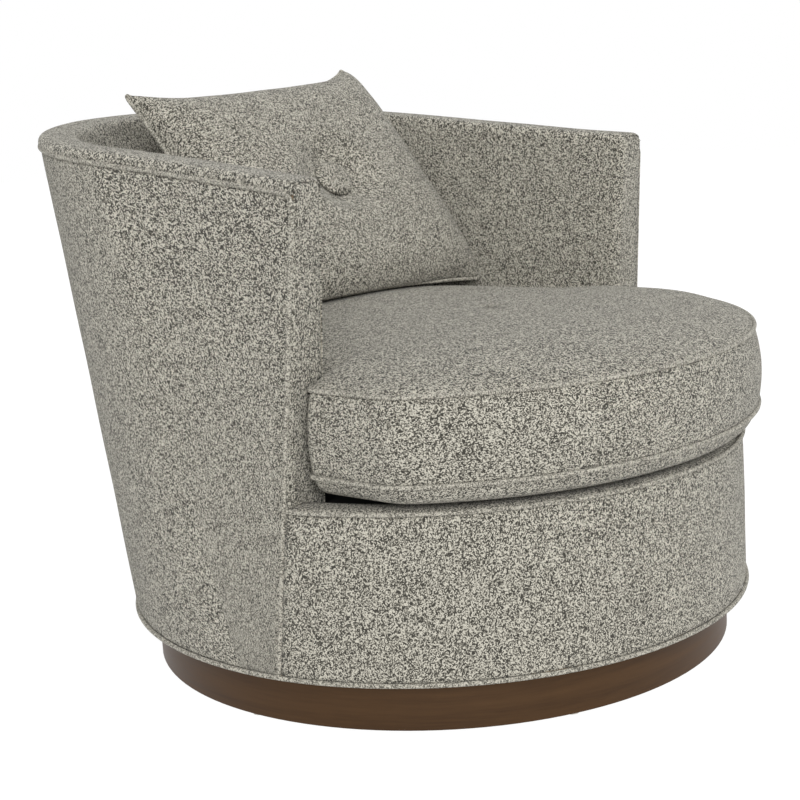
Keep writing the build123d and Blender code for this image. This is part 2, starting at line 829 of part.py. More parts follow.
skin_zone = combine(barrel_skin, cuts=[barrel_board], keeps=[slab(covers_bottom, rim_back_height)])
proud_zone = combine(barrel_proud, cuts=[barrel_board], keeps=[slab(covers_bottom, rim_back_height)])

with BuildPart() as outside_cover:
    add(below_rim(behind_arms(skin_zone, welt_height), welt_drop))
outside_cover.part.label = "outside_cover"
export_step(outside_cover.part, "parts/outside_cover.step")

with BuildPart() as rim_welt:
    add(below_rim(proud_zone, rim_welt_drop))
    add(below_rim(behind_arms(proud_zone, welt_height), welt_drop), mode=Mode.SUBTRACT)
rim_welt.part.label = "rim_welt"
export_step(rim_welt.part, "parts/rim_welt.step")

with BuildPart() as rail_welt:
    with BuildSketch(Plane.XY.offset(rail_top - welt_height)):
        add(rail_outline(-welt_stand))
        add(rail_outline(cover + welt_bite), mode=Mode.SUBTRACT)
    extrude(amount=welt_height)
rail_welt.part.label = "rail_welt"
export_step(rail_welt.part, "parts/rail_welt.step")

with BuildPart() as front_foam:
    add(front_pad_form)
    add(front_board_form, mode=Mode.SUBTRACT)
    add(combine(front_pad_form, cuts=[front_lip_form], keeps=[slab(felt_bottom, rail_top)]))
    add(slab(base_board_top, rail_top - cover), mode=Mode.INTERSECT)
    add(rail_welt.part, mode=Mode.SUBTRACT)
front_foam.part.label = "front_foam"
export_step(front_foam.part, "parts/front_foam.step")

with BuildPart() as front_cover:
    add(front_skin)
    add(
        combine(
            front_pad_form,
            cuts=[combine(front_lip_form, keeps=[slab(deck_foam_bottom, rail_top)])],
            keeps=[slab(0, rail_top - cover)],
        ),
        mode=Mode.SUBTRACT,
    )
    add(combine(front_deck_form, keeps=[slab(deck_foam_bottom, rail_top)]), mode=Mode.SUBTRACT)
    add(slab(covers_bottom, rail_top), mode=Mode.INTERSECT)
    add(rail_welt.part, mode=Mode.SUBTRACT)
front_cover.part.label = "front_cover"
export_step(front_cover.part, "parts/front_cover.step")


# --- Seat cushion --------------------------------------------------------------------------
bottom_seam = cushion_middle - boxing_height / 2
top_seam = cushion_middle + boxing_height / 2
cushion_bottom = deck_level + seat_gap
cushion_top = top_seam + cushion_crown


def cushion_outline(share, inset):
    """The T-shaped outline, drawn in by inset and scaled about the line of the ears' back edges."""
    radius = cushion_front_radius - inset
    front_half = cushion_ear_half - inset
    ear_y = cushion_ear_y - inset
    front_y = cushion_front_y + inset
    corner_y = front_y + radius - sqrt(radius**2 - front_half**2)
    notch = cushion_neck_front_half - inset
    waist = cushion_neck_half - inset

    def place(x, y):
        return (x * share, cushion_ear_y + (y - cushion_ear_y) * share)

    with BuildSketch() as outline:
        with BuildLine():
            ThreePointArc(place(-front_half, corner_y), place(0, front_y), place(front_half, corner_y))
            for side in (-1, 1):
                Line(place(side * front_half, corner_y), place(side * front_half, ear_y))
                Line(place(side * front_half, ear_y), place(side * notch, ear_y))
                TangentArc(
                    place(side * waist, cushion_neck_side_y),
                    place(side * notch, ear_y),
                    tangent=(0, -1),
                )
            for start in (0, 90):
                EllipticalCenterArc(
                    place(0, cushion_neck_side_y),
                    waist * share,
                    (cushion_back_y - inset - cushion_neck_side_y) * share,
                    start,
                    arc_size=90,
                )
        make_face()
        rows = outline.vertices().group_by(Axis.Y)
        front_row = rows[0]
        ear_row = rows[1].sort_by(Axis.X)
        fillet(front_row, cushion_front_corner * share)
        fillet([ear_row[0], ear_row[-1]], cushion_ear_corner * share)
    return outline.sketch


def cushion_form(fabric):
    """The stuffed cushion, drawn in by the thickness of its fabric."""
    low = cushion_bottom + fabric
    high = cushion_top - fabric
    underside = [(low + (bottom_seam - low) * rise, share) for share, rise in underside_profile]
    crown = [(high - (high - top_seam) * fall, share) for share, fall in crown_profile]
    boxing = [(bottom_seam, boxing_draw), (cushion_middle, 1.0), (top_seam, boxing_draw)]
    with BuildPart() as form:
        for height, share in underside + boxing + crown:
            with BuildSketch(Plane.XY.offset(height)):
                add(cushion_outline(share, fabric))
        loft(ruled=True)
    return form.part


def cushion_band(share, outer, inner, middle, height):
    """A level band that follows the cushion's outline between two insets."""
    with BuildPart() as band:
        with BuildSketch(Plane.XY.offset(middle - height / 2)):
            add(cushion_outline(share, outer))
            add(cushion_outline(share, inner), mode=Mode.SUBTRACT)
        extrude(amount=height)
    return band.part


def across_back(band, middle, width):
    """The part of a band that lies across the cushion's back, width wide."""
    with BuildPart() as piece:
        add(band)
        with BuildSketch(Plane.XY.offset(bottom_seam)):
            with Locations((middle, cushion_back_y)):
                Rectangle(width, 2 * (cushion_back_y - cushion_neck_side_y))
        extrude(amount=boxing_height, mode=Mode.INTERSECT)
    return piece.part


cushion_seam = cushion_fabric + welt_bite
cushion_skin = cushion_form(0)
cushion_fill = cushion_form(cushion_fabric)

with BuildPart() as cushion_top_welt:
    add(cushion_band(boxing_draw, -welt_stand, cushion_seam, top_seam, welt_height))
cushion_top_welt.part.label = "cushion_top_welt"
export_step(cushion_top_welt.part, "parts/cushion_top_welt.step")

with BuildPart() as cushion_bottom_welt:
    add(cushion_band(boxing_draw, -welt_stand, cushion_seam, bottom_seam, welt_height))
cushion_bottom_welt.part.label = "cushion_bottom_welt"
export_step(cushion_bottom_welt.part, "parts/cushion_bottom_welt.step")

with BuildPart() as cushion_zip:
    zip_band = cushion_band(1.0, -zip_stand, cushion_seam, cushion_middle, zip_height)
    add(across_back(zip_band, 0, zip_width))
cushion_zip.part.label = "cushion_zip"
export_step(cushion_zip.part, "parts/cushion_zip.step")

with BuildPart() as zip_slider:
    slider_band = cushion_band(1.0, -slider_stand, -zip_stand, cushion_middle, slider_height)
    add(across_back(slider_band, (zip_width - slider_width) / 2, slider_width))
zip_slider.part.label = "zip_slider"
export_step(zip_slider.part, "parts/zip_slider.step")

cushion_case = combine(
    cushion_skin,
    cuts=[cushion_fill, cushion_top_welt.part, cushion_bottom_welt.part, cushion_zip.part],
)

with BuildPart() as cushion_top_panel:
    add(cushion_case)
    add(slab(top_seam, cushion_top + welt_height), mode=Mode.INTERSECT)
cushion_top_panel.part.label = "cushion_top_panel"
export_step(cushion_top_panel.part, "parts/cushion_top_panel.step")

with BuildPart() as cushion_boxing:
    add(cushion_case)
    add(slab(bottom_seam, top_seam), mode=Mode.INTERSECT)
cushion_boxing.part.label = "cushion_boxing"
export_step(cushion_boxing.part, "parts/cushion_boxing.step")

with BuildPart() as cushion_bottom_panel:
    add(cushion_case)
    add(slab(deck_level, bottom_seam), mode=Mode.INTERSECT)
cushion_bottom_panel.part.label = "cushion_bottom_panel"
export_step(cushion_bottom_panel.part, "parts/cushion_bottom_panel.step")

with BuildPart() as cushion_core:
    add(cushion_fill)
    add(cushion_top_welt.part, mode=Mode.SUBTRACT)
    add(cushion_bottom_welt.part, mode=Mode.SUBTRACT)
    add(cushion_zip.part, mode=Mode.SUBTRACT)
cushion_core.part.label = "cushion_core"
export_step(cushion_core.part, "parts/cushion_core.step")

# --- Pillow --------------------------------------------------------------------------------
yaw = radians(pillow_yaw)
lean = radians(pillow_lean)
roll = radians(pillow_roll)
across = Vector(cos(yaw), sin(yaw), 0)
upwards = Vector(-sin(lean) * sin(yaw), sin(lean) * cos(yaw), cos(lean))
pillow_plane = Plane(
    origin=pillow_centre,
    x_dir=across * cos(roll) + upwards * sin(roll),
    z_dir=across.cross(upwards),
)
back_plane = Plane(origin=pillow_centre, x_dir=pillow_plane.x_dir, z_dir=-pillow_plane.z_dir)
tuft_floor = pillow_loft - tuft_depth


def pillow_outline(share, draw):
    """Four corners joined by sides that are drawn in, or that bulge where draw is negative."""
    corner = pillow_half * share
    middle = corner - draw * pillow_draw
    pressed = corner * pillow_crush
    with BuildSketch() as outline:
        with BuildLine():
            ThreePointArc((-pressed, -pressed), (0, -middle), (corner, -corner))
            ThreePointArc((corner, -corner), (middle, 0), (corner, corner))
            ThreePointArc((corner, corner), (0, middle), (-corner, corner))
            ThreePointArc((-corner, corner), (-middle, 0), (-pressed, -pressed))
        make_face()
    return outline.sketch


def stuffed_pillow(fabric):
    """The stuffed pillow with a sewn tuft on both faces, drawn in by its fabric."""
    draw_in = fabric / pillow_half
    floor = tuft_floor - fabric
    above = pillow_loft + tuft_depth
    with BuildPart() as form:
        for level, share, draw in pillow_profile:
            with BuildSketch(pillow_plane.offset(level * (pillow_loft - fabric))):
                add(pillow_outline(share - draw_in, draw))
        loft(ruled=True)
        across_tuft = Plane(pillow_plane.origin, pillow_plane.x_dir, -pillow_plane.y_dir)
        with BuildSketch(across_tuft):
            with BuildLine():
                Polyline(
                    (0, floor),
                    (button_radius, floor),
                    (tuft_radius, pillow_loft),
                    (tuft_radius, above),
                    (0, above),
                    (0, floor),
                )
            make_face()
        revolve(axis=Axis(pillow_plane.origin, pillow_plane.z_dir), mode=Mode.SUBTRACT)
        mirror(about=pillow_plane)
    return form.part


def covered_button(facing):
    """A covered button seated on the floor of its tuft."""
    with BuildPart() as button:
        with BuildSketch(facing.offset(tuft_floor)):
            Circle(button_radius)
        extrude(amount=button_thickness)
        fillet(button.faces().sort_by(Axis(facing.origin, facing.z_dir))[-1].edges(), button_rounding)
    return button.part


with BuildPart() as button_twine:
    with BuildSketch(pillow_plane.offset(-tuft_floor)):
        Circle(twine_radius)
    extrude(amount=2 * tuft_floor)
button_twine.part.label = "button_twine"
export_step(button_twine.part, "parts/button_twine.step")

with BuildPart() as front_button:
    add(covered_button(pillow_plane))
front_button.part.label = "front_button"
export_step(front_button.part, "parts/front_button.step")

with BuildPart() as back_button:
    add(covered_button(back_plane))
back_button.part.label = "back_button"
export_step(back_button.part, "parts/back_button.step")

with BuildPart() as pillow_edge_welt:
    with BuildSketch(pillow_plane.offset(-pillow_welt)):
        add(pillow_outline(1 + pillow_welt / pillow_half, 1))
        add(pillow_outline(1 - pillow_welt / pillow_half, 1), mode=Mode.SUBTRACT)
    extrude(amount=2 * pillow_welt)
pillow_edge_welt.part.label = "pillow_edge_welt"
export_step(pillow_edge_welt.part, "parts/pillow_edge_welt.step")

with BuildPart() as pillow_insert:
    add(stuffed_pillow(pillow_fabric))
    add(pillow_edge_welt.part, mode=Mode.SUBTRACT)
    add(button_twine.part, mode=Mode.SUBTRACT)
pillow_insert.part.label = "pillow_insert"
export_step(pillow_insert.part, "parts/pillow_insert.step")

with BuildPart() as pillow_cover:
    add(stuffed_pillow(0))
    add(pillow_insert.part, mode=Mode.SUBTRACT)
    add(pillow_edge_welt.part, mode=Mode.SUBTRACT)
    add(button_twine.part, mode=Mode.SUBTRACT)
pillow_cover.part.label = "pillow_cover"
export_step(pillow_cover.part, "parts/pillow_cover.step")
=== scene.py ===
import math
import bpy
import numpy as np
from mathutils import Matrix, Vector
from mathutils.noise import noise


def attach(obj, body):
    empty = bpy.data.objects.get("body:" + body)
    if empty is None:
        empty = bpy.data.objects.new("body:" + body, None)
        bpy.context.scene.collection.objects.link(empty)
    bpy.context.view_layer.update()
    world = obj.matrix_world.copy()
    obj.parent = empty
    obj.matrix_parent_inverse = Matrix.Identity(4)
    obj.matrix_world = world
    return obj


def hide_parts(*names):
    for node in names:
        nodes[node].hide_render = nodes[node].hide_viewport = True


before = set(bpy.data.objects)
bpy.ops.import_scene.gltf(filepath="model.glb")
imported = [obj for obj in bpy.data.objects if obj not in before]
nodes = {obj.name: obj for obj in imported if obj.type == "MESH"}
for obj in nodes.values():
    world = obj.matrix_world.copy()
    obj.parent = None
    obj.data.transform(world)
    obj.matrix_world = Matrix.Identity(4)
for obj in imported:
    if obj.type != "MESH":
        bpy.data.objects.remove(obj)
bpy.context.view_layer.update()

# --- Studio --------------------------------------------------------------------------------
# A white sweep of paper under soft lamps, with the camera at standing height in front of the
# chair's right arm. None of it belongs to the chair.
mm = 0.001
swing, rise, tilt = (math.radians(angle) for angle in (-51.742, 11.684, -3.344))
sideways = Vector((math.cos(swing), math.sin(swing), 0))
backwards = Vector((
    math.sin(swing) * math.cos(rise),
    -math.cos(swing) * math.cos(rise),
    math.sin(rise),
))
above = backwards.cross(sideways)
aim_height, aim_shift, camera_distance = 0.3173, 0.04231, 2.2379
aim = Vector((0, 0, aim_height)) - sideways * aim_shift
lens = bpy.data.cameras.new("camera")
lens.lens = 74.05
lens.sensor_width = 36
lens.clip_end = 60
camera = bpy.data.objects.new("camera", lens)
bpy.context.scene.collection.objects.link(camera)
turn = Matrix((
    sideways * math.cos(tilt) + above * math.sin(tilt),
    above * math.cos(tilt) - sideways * math.sin(tilt),
    backwards,
)).transposed()
camera.matrix_world = Matrix.Translation(aim + backwards * camera_distance) @ turn.to_4x4()
bpy.context.scene.camera = camera
bpy.context.scene.view_settings.view_transform = "Standard"

for name, kind, spot, softness, power in (
    ("key_lamp", "SUN", (-2.5, -2.4, 1.9), 0.62, 1.75),
    ("fill_lamp", "AREA", (1.9, -3.6, 1.7), 2.8, 14.0),
    ("top_lamp", "AREA", (0.3, 0.4, 3.4), 2.8, 9.0),
):
    light = bpy.data.lights.new(name, kind)
    light.energy = power
    if kind == "SUN":
        light.angle = softness
    else:
        light.size = softness
    lamp = bpy.data.objects.new(name, light)
    lamp.location = spot
    lamp.rotation_euler = (Vector((0, 0, 0.35)) - Vector(spot)).to_track_quat("-Z", "Y").to_euler()
    bpy.context.scene.collection.objects.link(lamp)


class Tint:
    """A number or colour on its way through a finish. Sums on tints add Math nodes."""

    def __init__(self, tree, socket=None):
        self.tree = tree
        self.socket = socket

    def node(self, kind, settings=None, inputs=None, output=0):
        made = self.tree.nodes.new("ShaderNode" + kind)
        for name, value in (settings or {}).items():
            if name == "stops":
                ramp = made.color_ramp.elements
                ramp[0].position, ramp[1].position = value[0][0], value[-1][0]
                for place, _ in value[1:-1]:
                    ramp.new(place)
                for stop, (_, colour) in zip(ramp, value):
                    stop.color = (*colour, 1)
            else:
                setattr(made, name, value)
        for name, value in (inputs or {}).items():
            if isinstance(value, Tint):
                self.tree.links.new(value.socket, made.inputs[name])
            else:
                made.inputs[name].default_value = value
        return Tint(self.tree, made.outputs[output] if made.outputs else None)

    def other(self, output):
        return Tint(self.tree, self.socket.node.outputs[output])

    def sum(self, operation, first, second):
        return self.node("Math", {"operation": operation}, {0: first, 1: second})

    def __add__(self, other):
        return self.sum("ADD", self, other)

    def __radd__(self, other):
        return self.sum("ADD", other, self)

    def __sub__(self, other):
        return self.sum("SUBTRACT", self, other)

    def __rsub__(self, other):
        return self.sum("SUBTRACT", other, self)

    def __mul__(self, other):
        return self.sum("MULTIPLY", self, other)

    def __rmul__(self, other):
        return self.sum("MULTIPLY", other, self)


def seen_as_backdrop(start):
    """1 where a ray looks at the backdrop or mirrors it, 0 where it lights the chair."""
    ray = start.node("LightPath")
    return start.sum("MAXIMUM", start.sum("MAXIMUM", ray, ray.other(3)), ray.other(6))


world = bpy.data.worlds.new("studio")
bpy.context.scene.world = world
world.use_nodes = True
world.node_tree.nodes.clear()
start = Tint(world.node_tree)
soft_light = start.node("Background", None, {"Color": (1, 0.995, 0.985, 1), "Strength": 0.56})
paper_white = start.node("Background", None, {"Color": (1, 1, 1, 1), "Strength": 1.0})
sky = start.node("MixShader", None, {0: seen_as_backdrop(start), 1: soft_light, 2: paper_white})
start.node("OutputWorld", None, {"Surface": sky})

paper = bpy.data.materials.new("backdrop_paper")
paper.use_nodes = True
paper.node_tree.nodes.clear()
start = Tint(paper.node_tree)
lit = start.node("BsdfDiffuse", None, {"Color": (0.86, 0.86, 0.86, 1)})
glow = start.node("Emission", None, {"Color": (1, 1, 1, 1), "Strength": 1.16})
sheet = start.node("MixShader", None, {0: seen_as_backdrop(start) * 0.82, 1: lit, 2: glow})
start.node("OutputMaterial", None, {"Surface": sheet})
ground = bpy.data.meshes.new("studio_floor")
ground.from_pydata([(-9, -9, 0), (9, -9, 0), (9, 9, 0), (-9, 9, 0)], [], [(0, 1, 2, 3)])
ground.materials.append(paper)
studio_floor = bpy.data.objects.new("studio_floor", ground)
bpy.context.scene.collection.objects.link(studio_floor)

# --- Plinth --------------------------------------------------------------------------------
# The recessed round plinth: a hoop of bent plywood lacquered a satin dark brown, with a top
# board, glue blocks and two half-lapped battens of raw birch in it, and nylon glides under it.


def finish(name, numbers, paint):
    """A finish: the shader's own plain numbers, then what changes over the surface."""
    material = bpy.data.materials.new(name)
    material.use_nodes = True
    tree = material.node_tree
    shader = tree.nodes["Principled BSDF"]
    for socket, value in numbers.items():
        shader.inputs[socket].default_value = value
    start = Tint(tree)
    for socket, tint in paint(start, start.node("TexCoord", output=3)).items():
        if socket == "Relief":
            height, depth = tint
            tint = start.node("Bump", None, {"Distance": depth, "Height": height})
            socket = "Normal"
        tree.links.new(tint.socket, shader.inputs[socket])
    return material


def dress(material, *names):
    """Gives CAD nodes a finish."""
    for name in names:
        for seat in nodes[name].material_slots:
            seat.material = material


def mottled(colours, stretch, roughness, depth):
    """Wood, card, plastic or metal: a noise drawn out along the grain between several colours."""

    def paint(start, place):
        drawn = start.node("VectorMath", {"operation": "MULTIPLY"}, {0: place, 1: stretch})
        grain = start.node("TexNoise", None, {
            "Vector": drawn, "Scale": 1.0, "Detail": 7.0, "Roughness": 0.62, "Distortion": 0.8,
        })
        fine = start.node("TexNoise", None, {"Vector": drawn, "Scale": 9.0, "Detail": 3.0})
        shade = grain * 0.75 + fine * 0.25
        stops = [(0.32 + 0.36 * i / (len(colours) - 1), colour) for i, colour in enumerate(colours)]
        return {
            "Base Color": start.node("ValToRGB", {"stops": stops}, {"Fac": shade}),
            "Roughness": shade * 0.24 + (roughness - 0.12),
            "Relief": (shade, depth),
        }

    return paint


plinth_lacquer = finish(
    "satin_brown_lacquer",
    {"Coat Weight": 0.04, "Coat Roughness": 0.4, "Specular IOR Level": 0.16},
    mottled(((0.046, 0.022, 0.008), (0.066, 0.033, 0.0125), (0.08, 0.041, 0.016)),
            (3.0, 3.0, 60.0), 0.44, 0.00006),
)
birch = finish("raw_birch", {}, mottled(
    ((0.42, 0.27, 0.13), (0.56, 0.39, 0.21), (0.62, 0.45, 0.26)), (9.0, 60.0, 60.0), 0.62, 0.0003))
nylon = finish("glide_nylon", {}, mottled(
    ((0.55, 0.53, 0.48), (0.63, 0.61, 0.56)), (200.0, 200.0, 200.0), 0.42, 0.00005))
dress(plinth_lacquer, "plinth_hoop")
dress(birch, "plinth_board", "plinth_blocks", "long_batten", "cross_batten")
dress(nylon, "floor_glides")

# --- Swivel --------------------------------------------------------------------------------
# Two pressed steel plates with a ring of steel balls in a plastic cage between them. The lower
# plate is screwed to the plinth, the upper one to the base board, and a rivet holds them.
plate_steel = finish("zinc_plated_steel", {"Metallic": 1.0}, mottled(
    ((0.42, 0.43, 0.44), (0.56, 0.57, 0.57), (0.62, 0.62, 0.61)), (30.0, 30.0, 30.0), 0.36, 0.00004))
polished_steel = finish("polished_steel", {"Metallic": 1.0}, mottled(
    ((0.68, 0.68, 0.69), (0.76, 0.76, 0.76)), (90.0, 90.0, 90.0), 0.18, 0.00001))
black_plastic = finish("cage_plastic", {}, mottled(
    ((0.02, 0.02, 0.022), (0.032, 0.032, 0.034)), (150.0, 150.0, 150.0), 0.46, 0.00005))
dress(plate_steel, "lower_plate", "upper_plate", "lower_screws", "upper_screws", "centre_rivet")
dress(polished_steel, "swivel_balls")
dress(black_plastic, "ball_cage")

# --- Frame ---------------------------------------------------------------------------------
# A base board, studs, seat rails, corner blocks, arm posts, uprights and a bent top rail of
# poplar, glued and stapled, with thin fibre board bent round the outside and the inside.
poplar = finish("sawn_poplar", {}, mottled(
    ((0.40, 0.29, 0.15), (0.52, 0.40, 0.23), (0.60, 0.48, 0.30)), (50.0, 50.0, 6.0), 0.68, 0.0003))
ply = finish("board_ply", {}, mottled(
    ((0.36, 0.24, 0.13), (0.48, 0.34, 0.19), (0.55, 0.41, 0.24)), (8.0, 45.0, 45.0), 0.64, 0.0002))
fibre = finish("fibre_board", {}, mottled(
    ((0.22, 0.15, 0.09), (0.30, 0.21, 0.13), (0.36, 0.26, 0.17)), (160.0, 160.0, 160.0), 0.78, 0.0002))
dress(poplar, "base_studs", "front_rail", "back_rail", "left_side_rail", "right_side_rail",
      "corner_blocks", "left_arm_post", "right_arm_post", "back_uprights", "top_rail")
dress(ply, "base_board")
dress(fibre, "outside_board", "inside_board", "front_board", "tack_strip")

# --- Springs -------------------------------------------------------------------------------
# Five sinuous springs of tempered wire run from the front rail to the back rail, each end
# held in a folded steel clip.
spring_wire = finish("tempered_wire", {"Metallic": 1.0}, mottled(
    ((0.10, 0.10, 0.11), (0.17, 0.17, 0.18)), (120.0, 120.0, 120.0), 0.38, 0.00003))
dress(spring_wire, "sinuous_springs")
dress(plate_steel, "spring_clips")

# --- Dust cover ----------------------------------------------------------------------------
# Black non-woven cambric stapled under the base board, with a round hole for the swivel.


def surface(name, grid, ring=False, loop=False, ends=False, cloth=None, facing=None):
    """A mesh over rows of points in millimetres, with the cloth's own coordinates in metres."""
    grid = np.array(grid, float) * mm
    rows, columns = grid.shape[:2]
    wrapped = np.concatenate((grid, grid[:1]))
    wrapped = np.concatenate((wrapped, wrapped[:, :1]), axis=1)
    down = np.linalg.norm(np.diff(wrapped, axis=0), axis=2).mean(axis=1)
    over = np.linalg.norm(np.diff(wrapped, axis=1), axis=2).mean(axis=0)
    down = np.concatenate(([0], np.cumsum(down)))
    over = np.concatenate(([0], np.cumsum(over)))
    faces, places = [], []
    for row in range(rows if loop else rows - 1):
        for column in range(columns if ring else columns - 1):
            corners = ((row, column), (row + 1, column), (row + 1, column + 1), (row, column + 1))
            faces.append([(r % rows) * columns + c % columns for r, c in corners])
            for r, c in corners:
                places.append((down[r], over[c]) if cloth is None else cloth[r % rows][c % columns])
    if ends:
        for row in (0, rows - 1):
            order = range(columns) if row else range(columns - 1, -1, -1)
            faces.append([row * columns + column for column in order])
            places += [(down[row], over[c]) if cloth is None else cloth[row][c] for c in order]
    data = bpy.data.meshes.new(name)
    data.from_pydata(grid.reshape(-1, 3).tolist(), [], faces)
    layer = data.uv_layers.new(name="cloth")
    layer.uv.foreach_set("vector", np.array(places, np.float32).ravel())
    data.update()
    if facing is None:
        outward = sum(face.normal.dot(face.center) * face.area for face in data.polygons)
    else:
        outward = sum((face.normal * face.area for face in data.polygons), Vector()).dot(facing)
    if outward < 0:
        data.flip_normals()
    data.shade_smooth()
    data.set_sharp_from_angle(angle=math.radians(50))
    piece = bpy.data.objects.new(name, data)
    bpy.context.scene.collection.objects.link(piece)
    return piece


def thicken(piece, thickness):
    """Gives a single surface its thickness, inwards."""
    shell = piece.modifiers.new("thickness", "SOLIDIFY")
    shell.thickness = thickness * mm
    shell.offset = -1
    return piece


def fit(piece, body, material, slot, *stands_for):
    """Puts a finished piece on its body, in the place of its CAD nodes."""
    piece.data.materials.append(material)
    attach(piece, body)
    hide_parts(*stands_for)
    return piece


def felted(dark, light, scale, depth):
    """Felt, wadding, foam and non-woven cloth: fine fibres or cells with a slow drift."""

    def paint(start, place):
        cells = start.node("TexVoronoi", None, {"Vector": place, "Scale": scale})
        fibres = start.node("TexNoise", None, {"Vector": place, "Scale": scale * 0.7, "Detail": 5.0})
        drift = start.node("TexNoise", None, {"Vector": place, "Scale": 7.0, "Detail": 2.0})
        shade = cells * 0.3 + fibres * 0.45 + drift * 0.25
        return {
            "Base Color": start.node("ValToRGB", {"stops": ((0.3, dark), (0.62, light))}, {"Fac": shade}),
            "Roughness": shade * 0.1 + 0.87,
            "Relief": (shade, depth),
        }

    return paint


dust_inner, dust_outer, dust_level = 161.0, 392.5, 66.0
cambric = finish("black_cambric", {}, felted((0.008, 0.008, 0.008), (0.02, 0.02, 0.021), 700.0, 0.0003))
dust_cloth = thicken(surface("dust_cloth", [
    [
        (
            radius * math.cos(angle), radius * math.sin(angle),
            dust_level + 0.25 * math.sin(5 * angle) * math.sin(math.pi * share),
        )
        for share in np.linspace(0, 1, 12)
        for radius in (dust_inner + (dust_outer - dust_inner) * share,)
    ]
    for angle in np.linspace(0, 2 * math.pi, 120, endpoint=False)
], loop=True, facing=(0, 0, -1)), 0.9)
fit(dust_cloth, "chair", cambric, "decking_cloth", "dust_cover")

# --- Seat deck -----------------------------------------------------------------------------
# Over the springs lie a felt insulator, a sheet of foam and black decking cloth, which is
# sewn to the front lip and shows in the gap beside the seat cushion.
foot_level, lip_level, deck_top = 67.0, 273.0, 262.2
rim_level, rim_slope = 656.18, 0.10324
rim_stretch = math.sqrt(1 + rim_slope**2)
rim_round, rim_draw = 9.0, 6.5
# each form: an outline at its foot, one at the rim, and the level of its foot
# each outline: half width and y at the front, half width and y at the waist, reach at the back
outside_form = ((410.8, -68.0, 415.0, -6.5, 422.0), (383.0, -118.0, 359.0, 234.0, 531.0), foot_level)
inside_form = ((350.0, -200.0, 309.0, 150.0, 400.0), (350.0, -200.0, 309.0, 234.0, 481.0), 251.0)
front_half, front_y, front_reach = *outside_form[0][:2], 416.0
arm_lean, front_taper, front_lean = 0.08666, 10.0, 17.9


def rim_height(y, drop=0.0):
    return rim_level + rim_slope * y - drop * rim_stretch


def arm_front_y(level):
    return front_y - arm_lean * (level - foot_level)


def bowed(line, share, grow):
    """On an outline's bowed side, from the waist at share 0 to the front at share 1."""
    front_half, front_y, side_half, side_y, _ = line
    reach, bow = side_y - front_y, front_half - side_half
    radius = (bow**2 + reach**2) / (2 * abs(bow))
    angle = share * math.asin(reach / radius)
    x = side_half + grow + math.copysign(radius * (1 - math.cos(angle)), bow)
    return x, side_y - radius * math.sin(angle)


def rounded_back(line, angle, grow):
    """On an outline's round back, from the waist at 0 to the middle at 90 degrees."""
    _, _, side_half, side_y, back = line
    turn = math.radians(angle)
    return (side_half + grow) * math.cos(turn), side_y + (back + grow - side_y) * math.sin(turn)


def between(form, low, high, climb):
    """Along the straight line from a form's lower outline to its rim line."""
    top = np.array((high[0], high[1], rim_height(high[1], rim_round)))
    return np.array((low[0], low[1], form[2])) * (1 - climb) + top * climb


def on_form(form, station, climb, grow=0.0):
    """On the left half of a form of the barrel. A station is a distance behind the arm front and
    a share of what is left up to the waist, or an angle round the back."""
    kind, depth, rest = station
    if kind == "back":
        return between(form, rounded_back(form[0], depth, grow), rounded_back(form[1], depth, grow), climb)
    waist = between(form, bowed(form[0], 0, grow), bowed(form[1], 0, grow), climb)
    low, high = 0.0, 1.0
    for _ in range(26):
        share = (low + high) / 2
        point = between(form, bowed(form[0], share, grow), bowed(form[1], share, grow), climb)
        front = arm_front_y(point[2]) + depth
        if point[1] > front + rest * (waist[1] - front):
            low = share
        else:
            high = share
    return point


roll_depths = (2.6, 5.0, 9.0)
stations = [("side", depth, 0.0) for depth in roll_depths]
stations += [("side", roll_depths[-1], rest) for rest in np.linspace(0, 1, 25)[1:]]
stations += [("back", angle, 0.0) for angle in np.linspace(0, 90, 41)[1:]]


def both_sides(half_rows):
    """Rows on the sitter's left, then the same rows mirrored, so that they run right to left."""
    half = np.array(half_rows, float)
    right = half * (-1, 1, 1)
    return np.concatenate((right, half[-2::-1]))


def front_arc(inset, level, share):
    """On the round front of the body at a level, from the right arm at -1 to the left at 1."""
    climb = (level - foot_level) / (lip_level - foot_level)
    half = front_half - front_taper * climb - inset
    line_y = front_y - front_lean * climb
    reach = front_reach - climb - inset
    sagitta = reach + line_y
    radius = (half**2 + sagitta**2) / (2 * sagitta)
    angle = share * math.asin(half / radius)
    return np.array((radius * math.sin(angle), radius - reach - radius * math.cos(angle), level))


def deck_outline(lip, outset, level):
    """Round the deck: along the inside of the front lip, then round the inside walls."""
    climb = (level - inside_form[2]) / (rim_height(150, rim_round) - inside_form[2])
    wall = both_sides([on_form(inside_form, station, climb, outset) for station in stations])
    wall[:, 2] = level
    lip_line = [front_arc(lip, level, share) for share in np.linspace(1, -1, 61)]
    return np.concatenate((lip_line, wall))


def stacked(name, outline, layers):
    """A solid of level rings: each layer is a share of the outline and a height."""
    rings = []
    for share, level in layers:
        ring = outline * share
        ring[:, 2] = level
        rings.append(ring)
    flat = [[tuple(point[:2] * mm) for point in ring] for ring in rings]
    return surface(name, rings, ring=True, ends=True, cloth=flat)


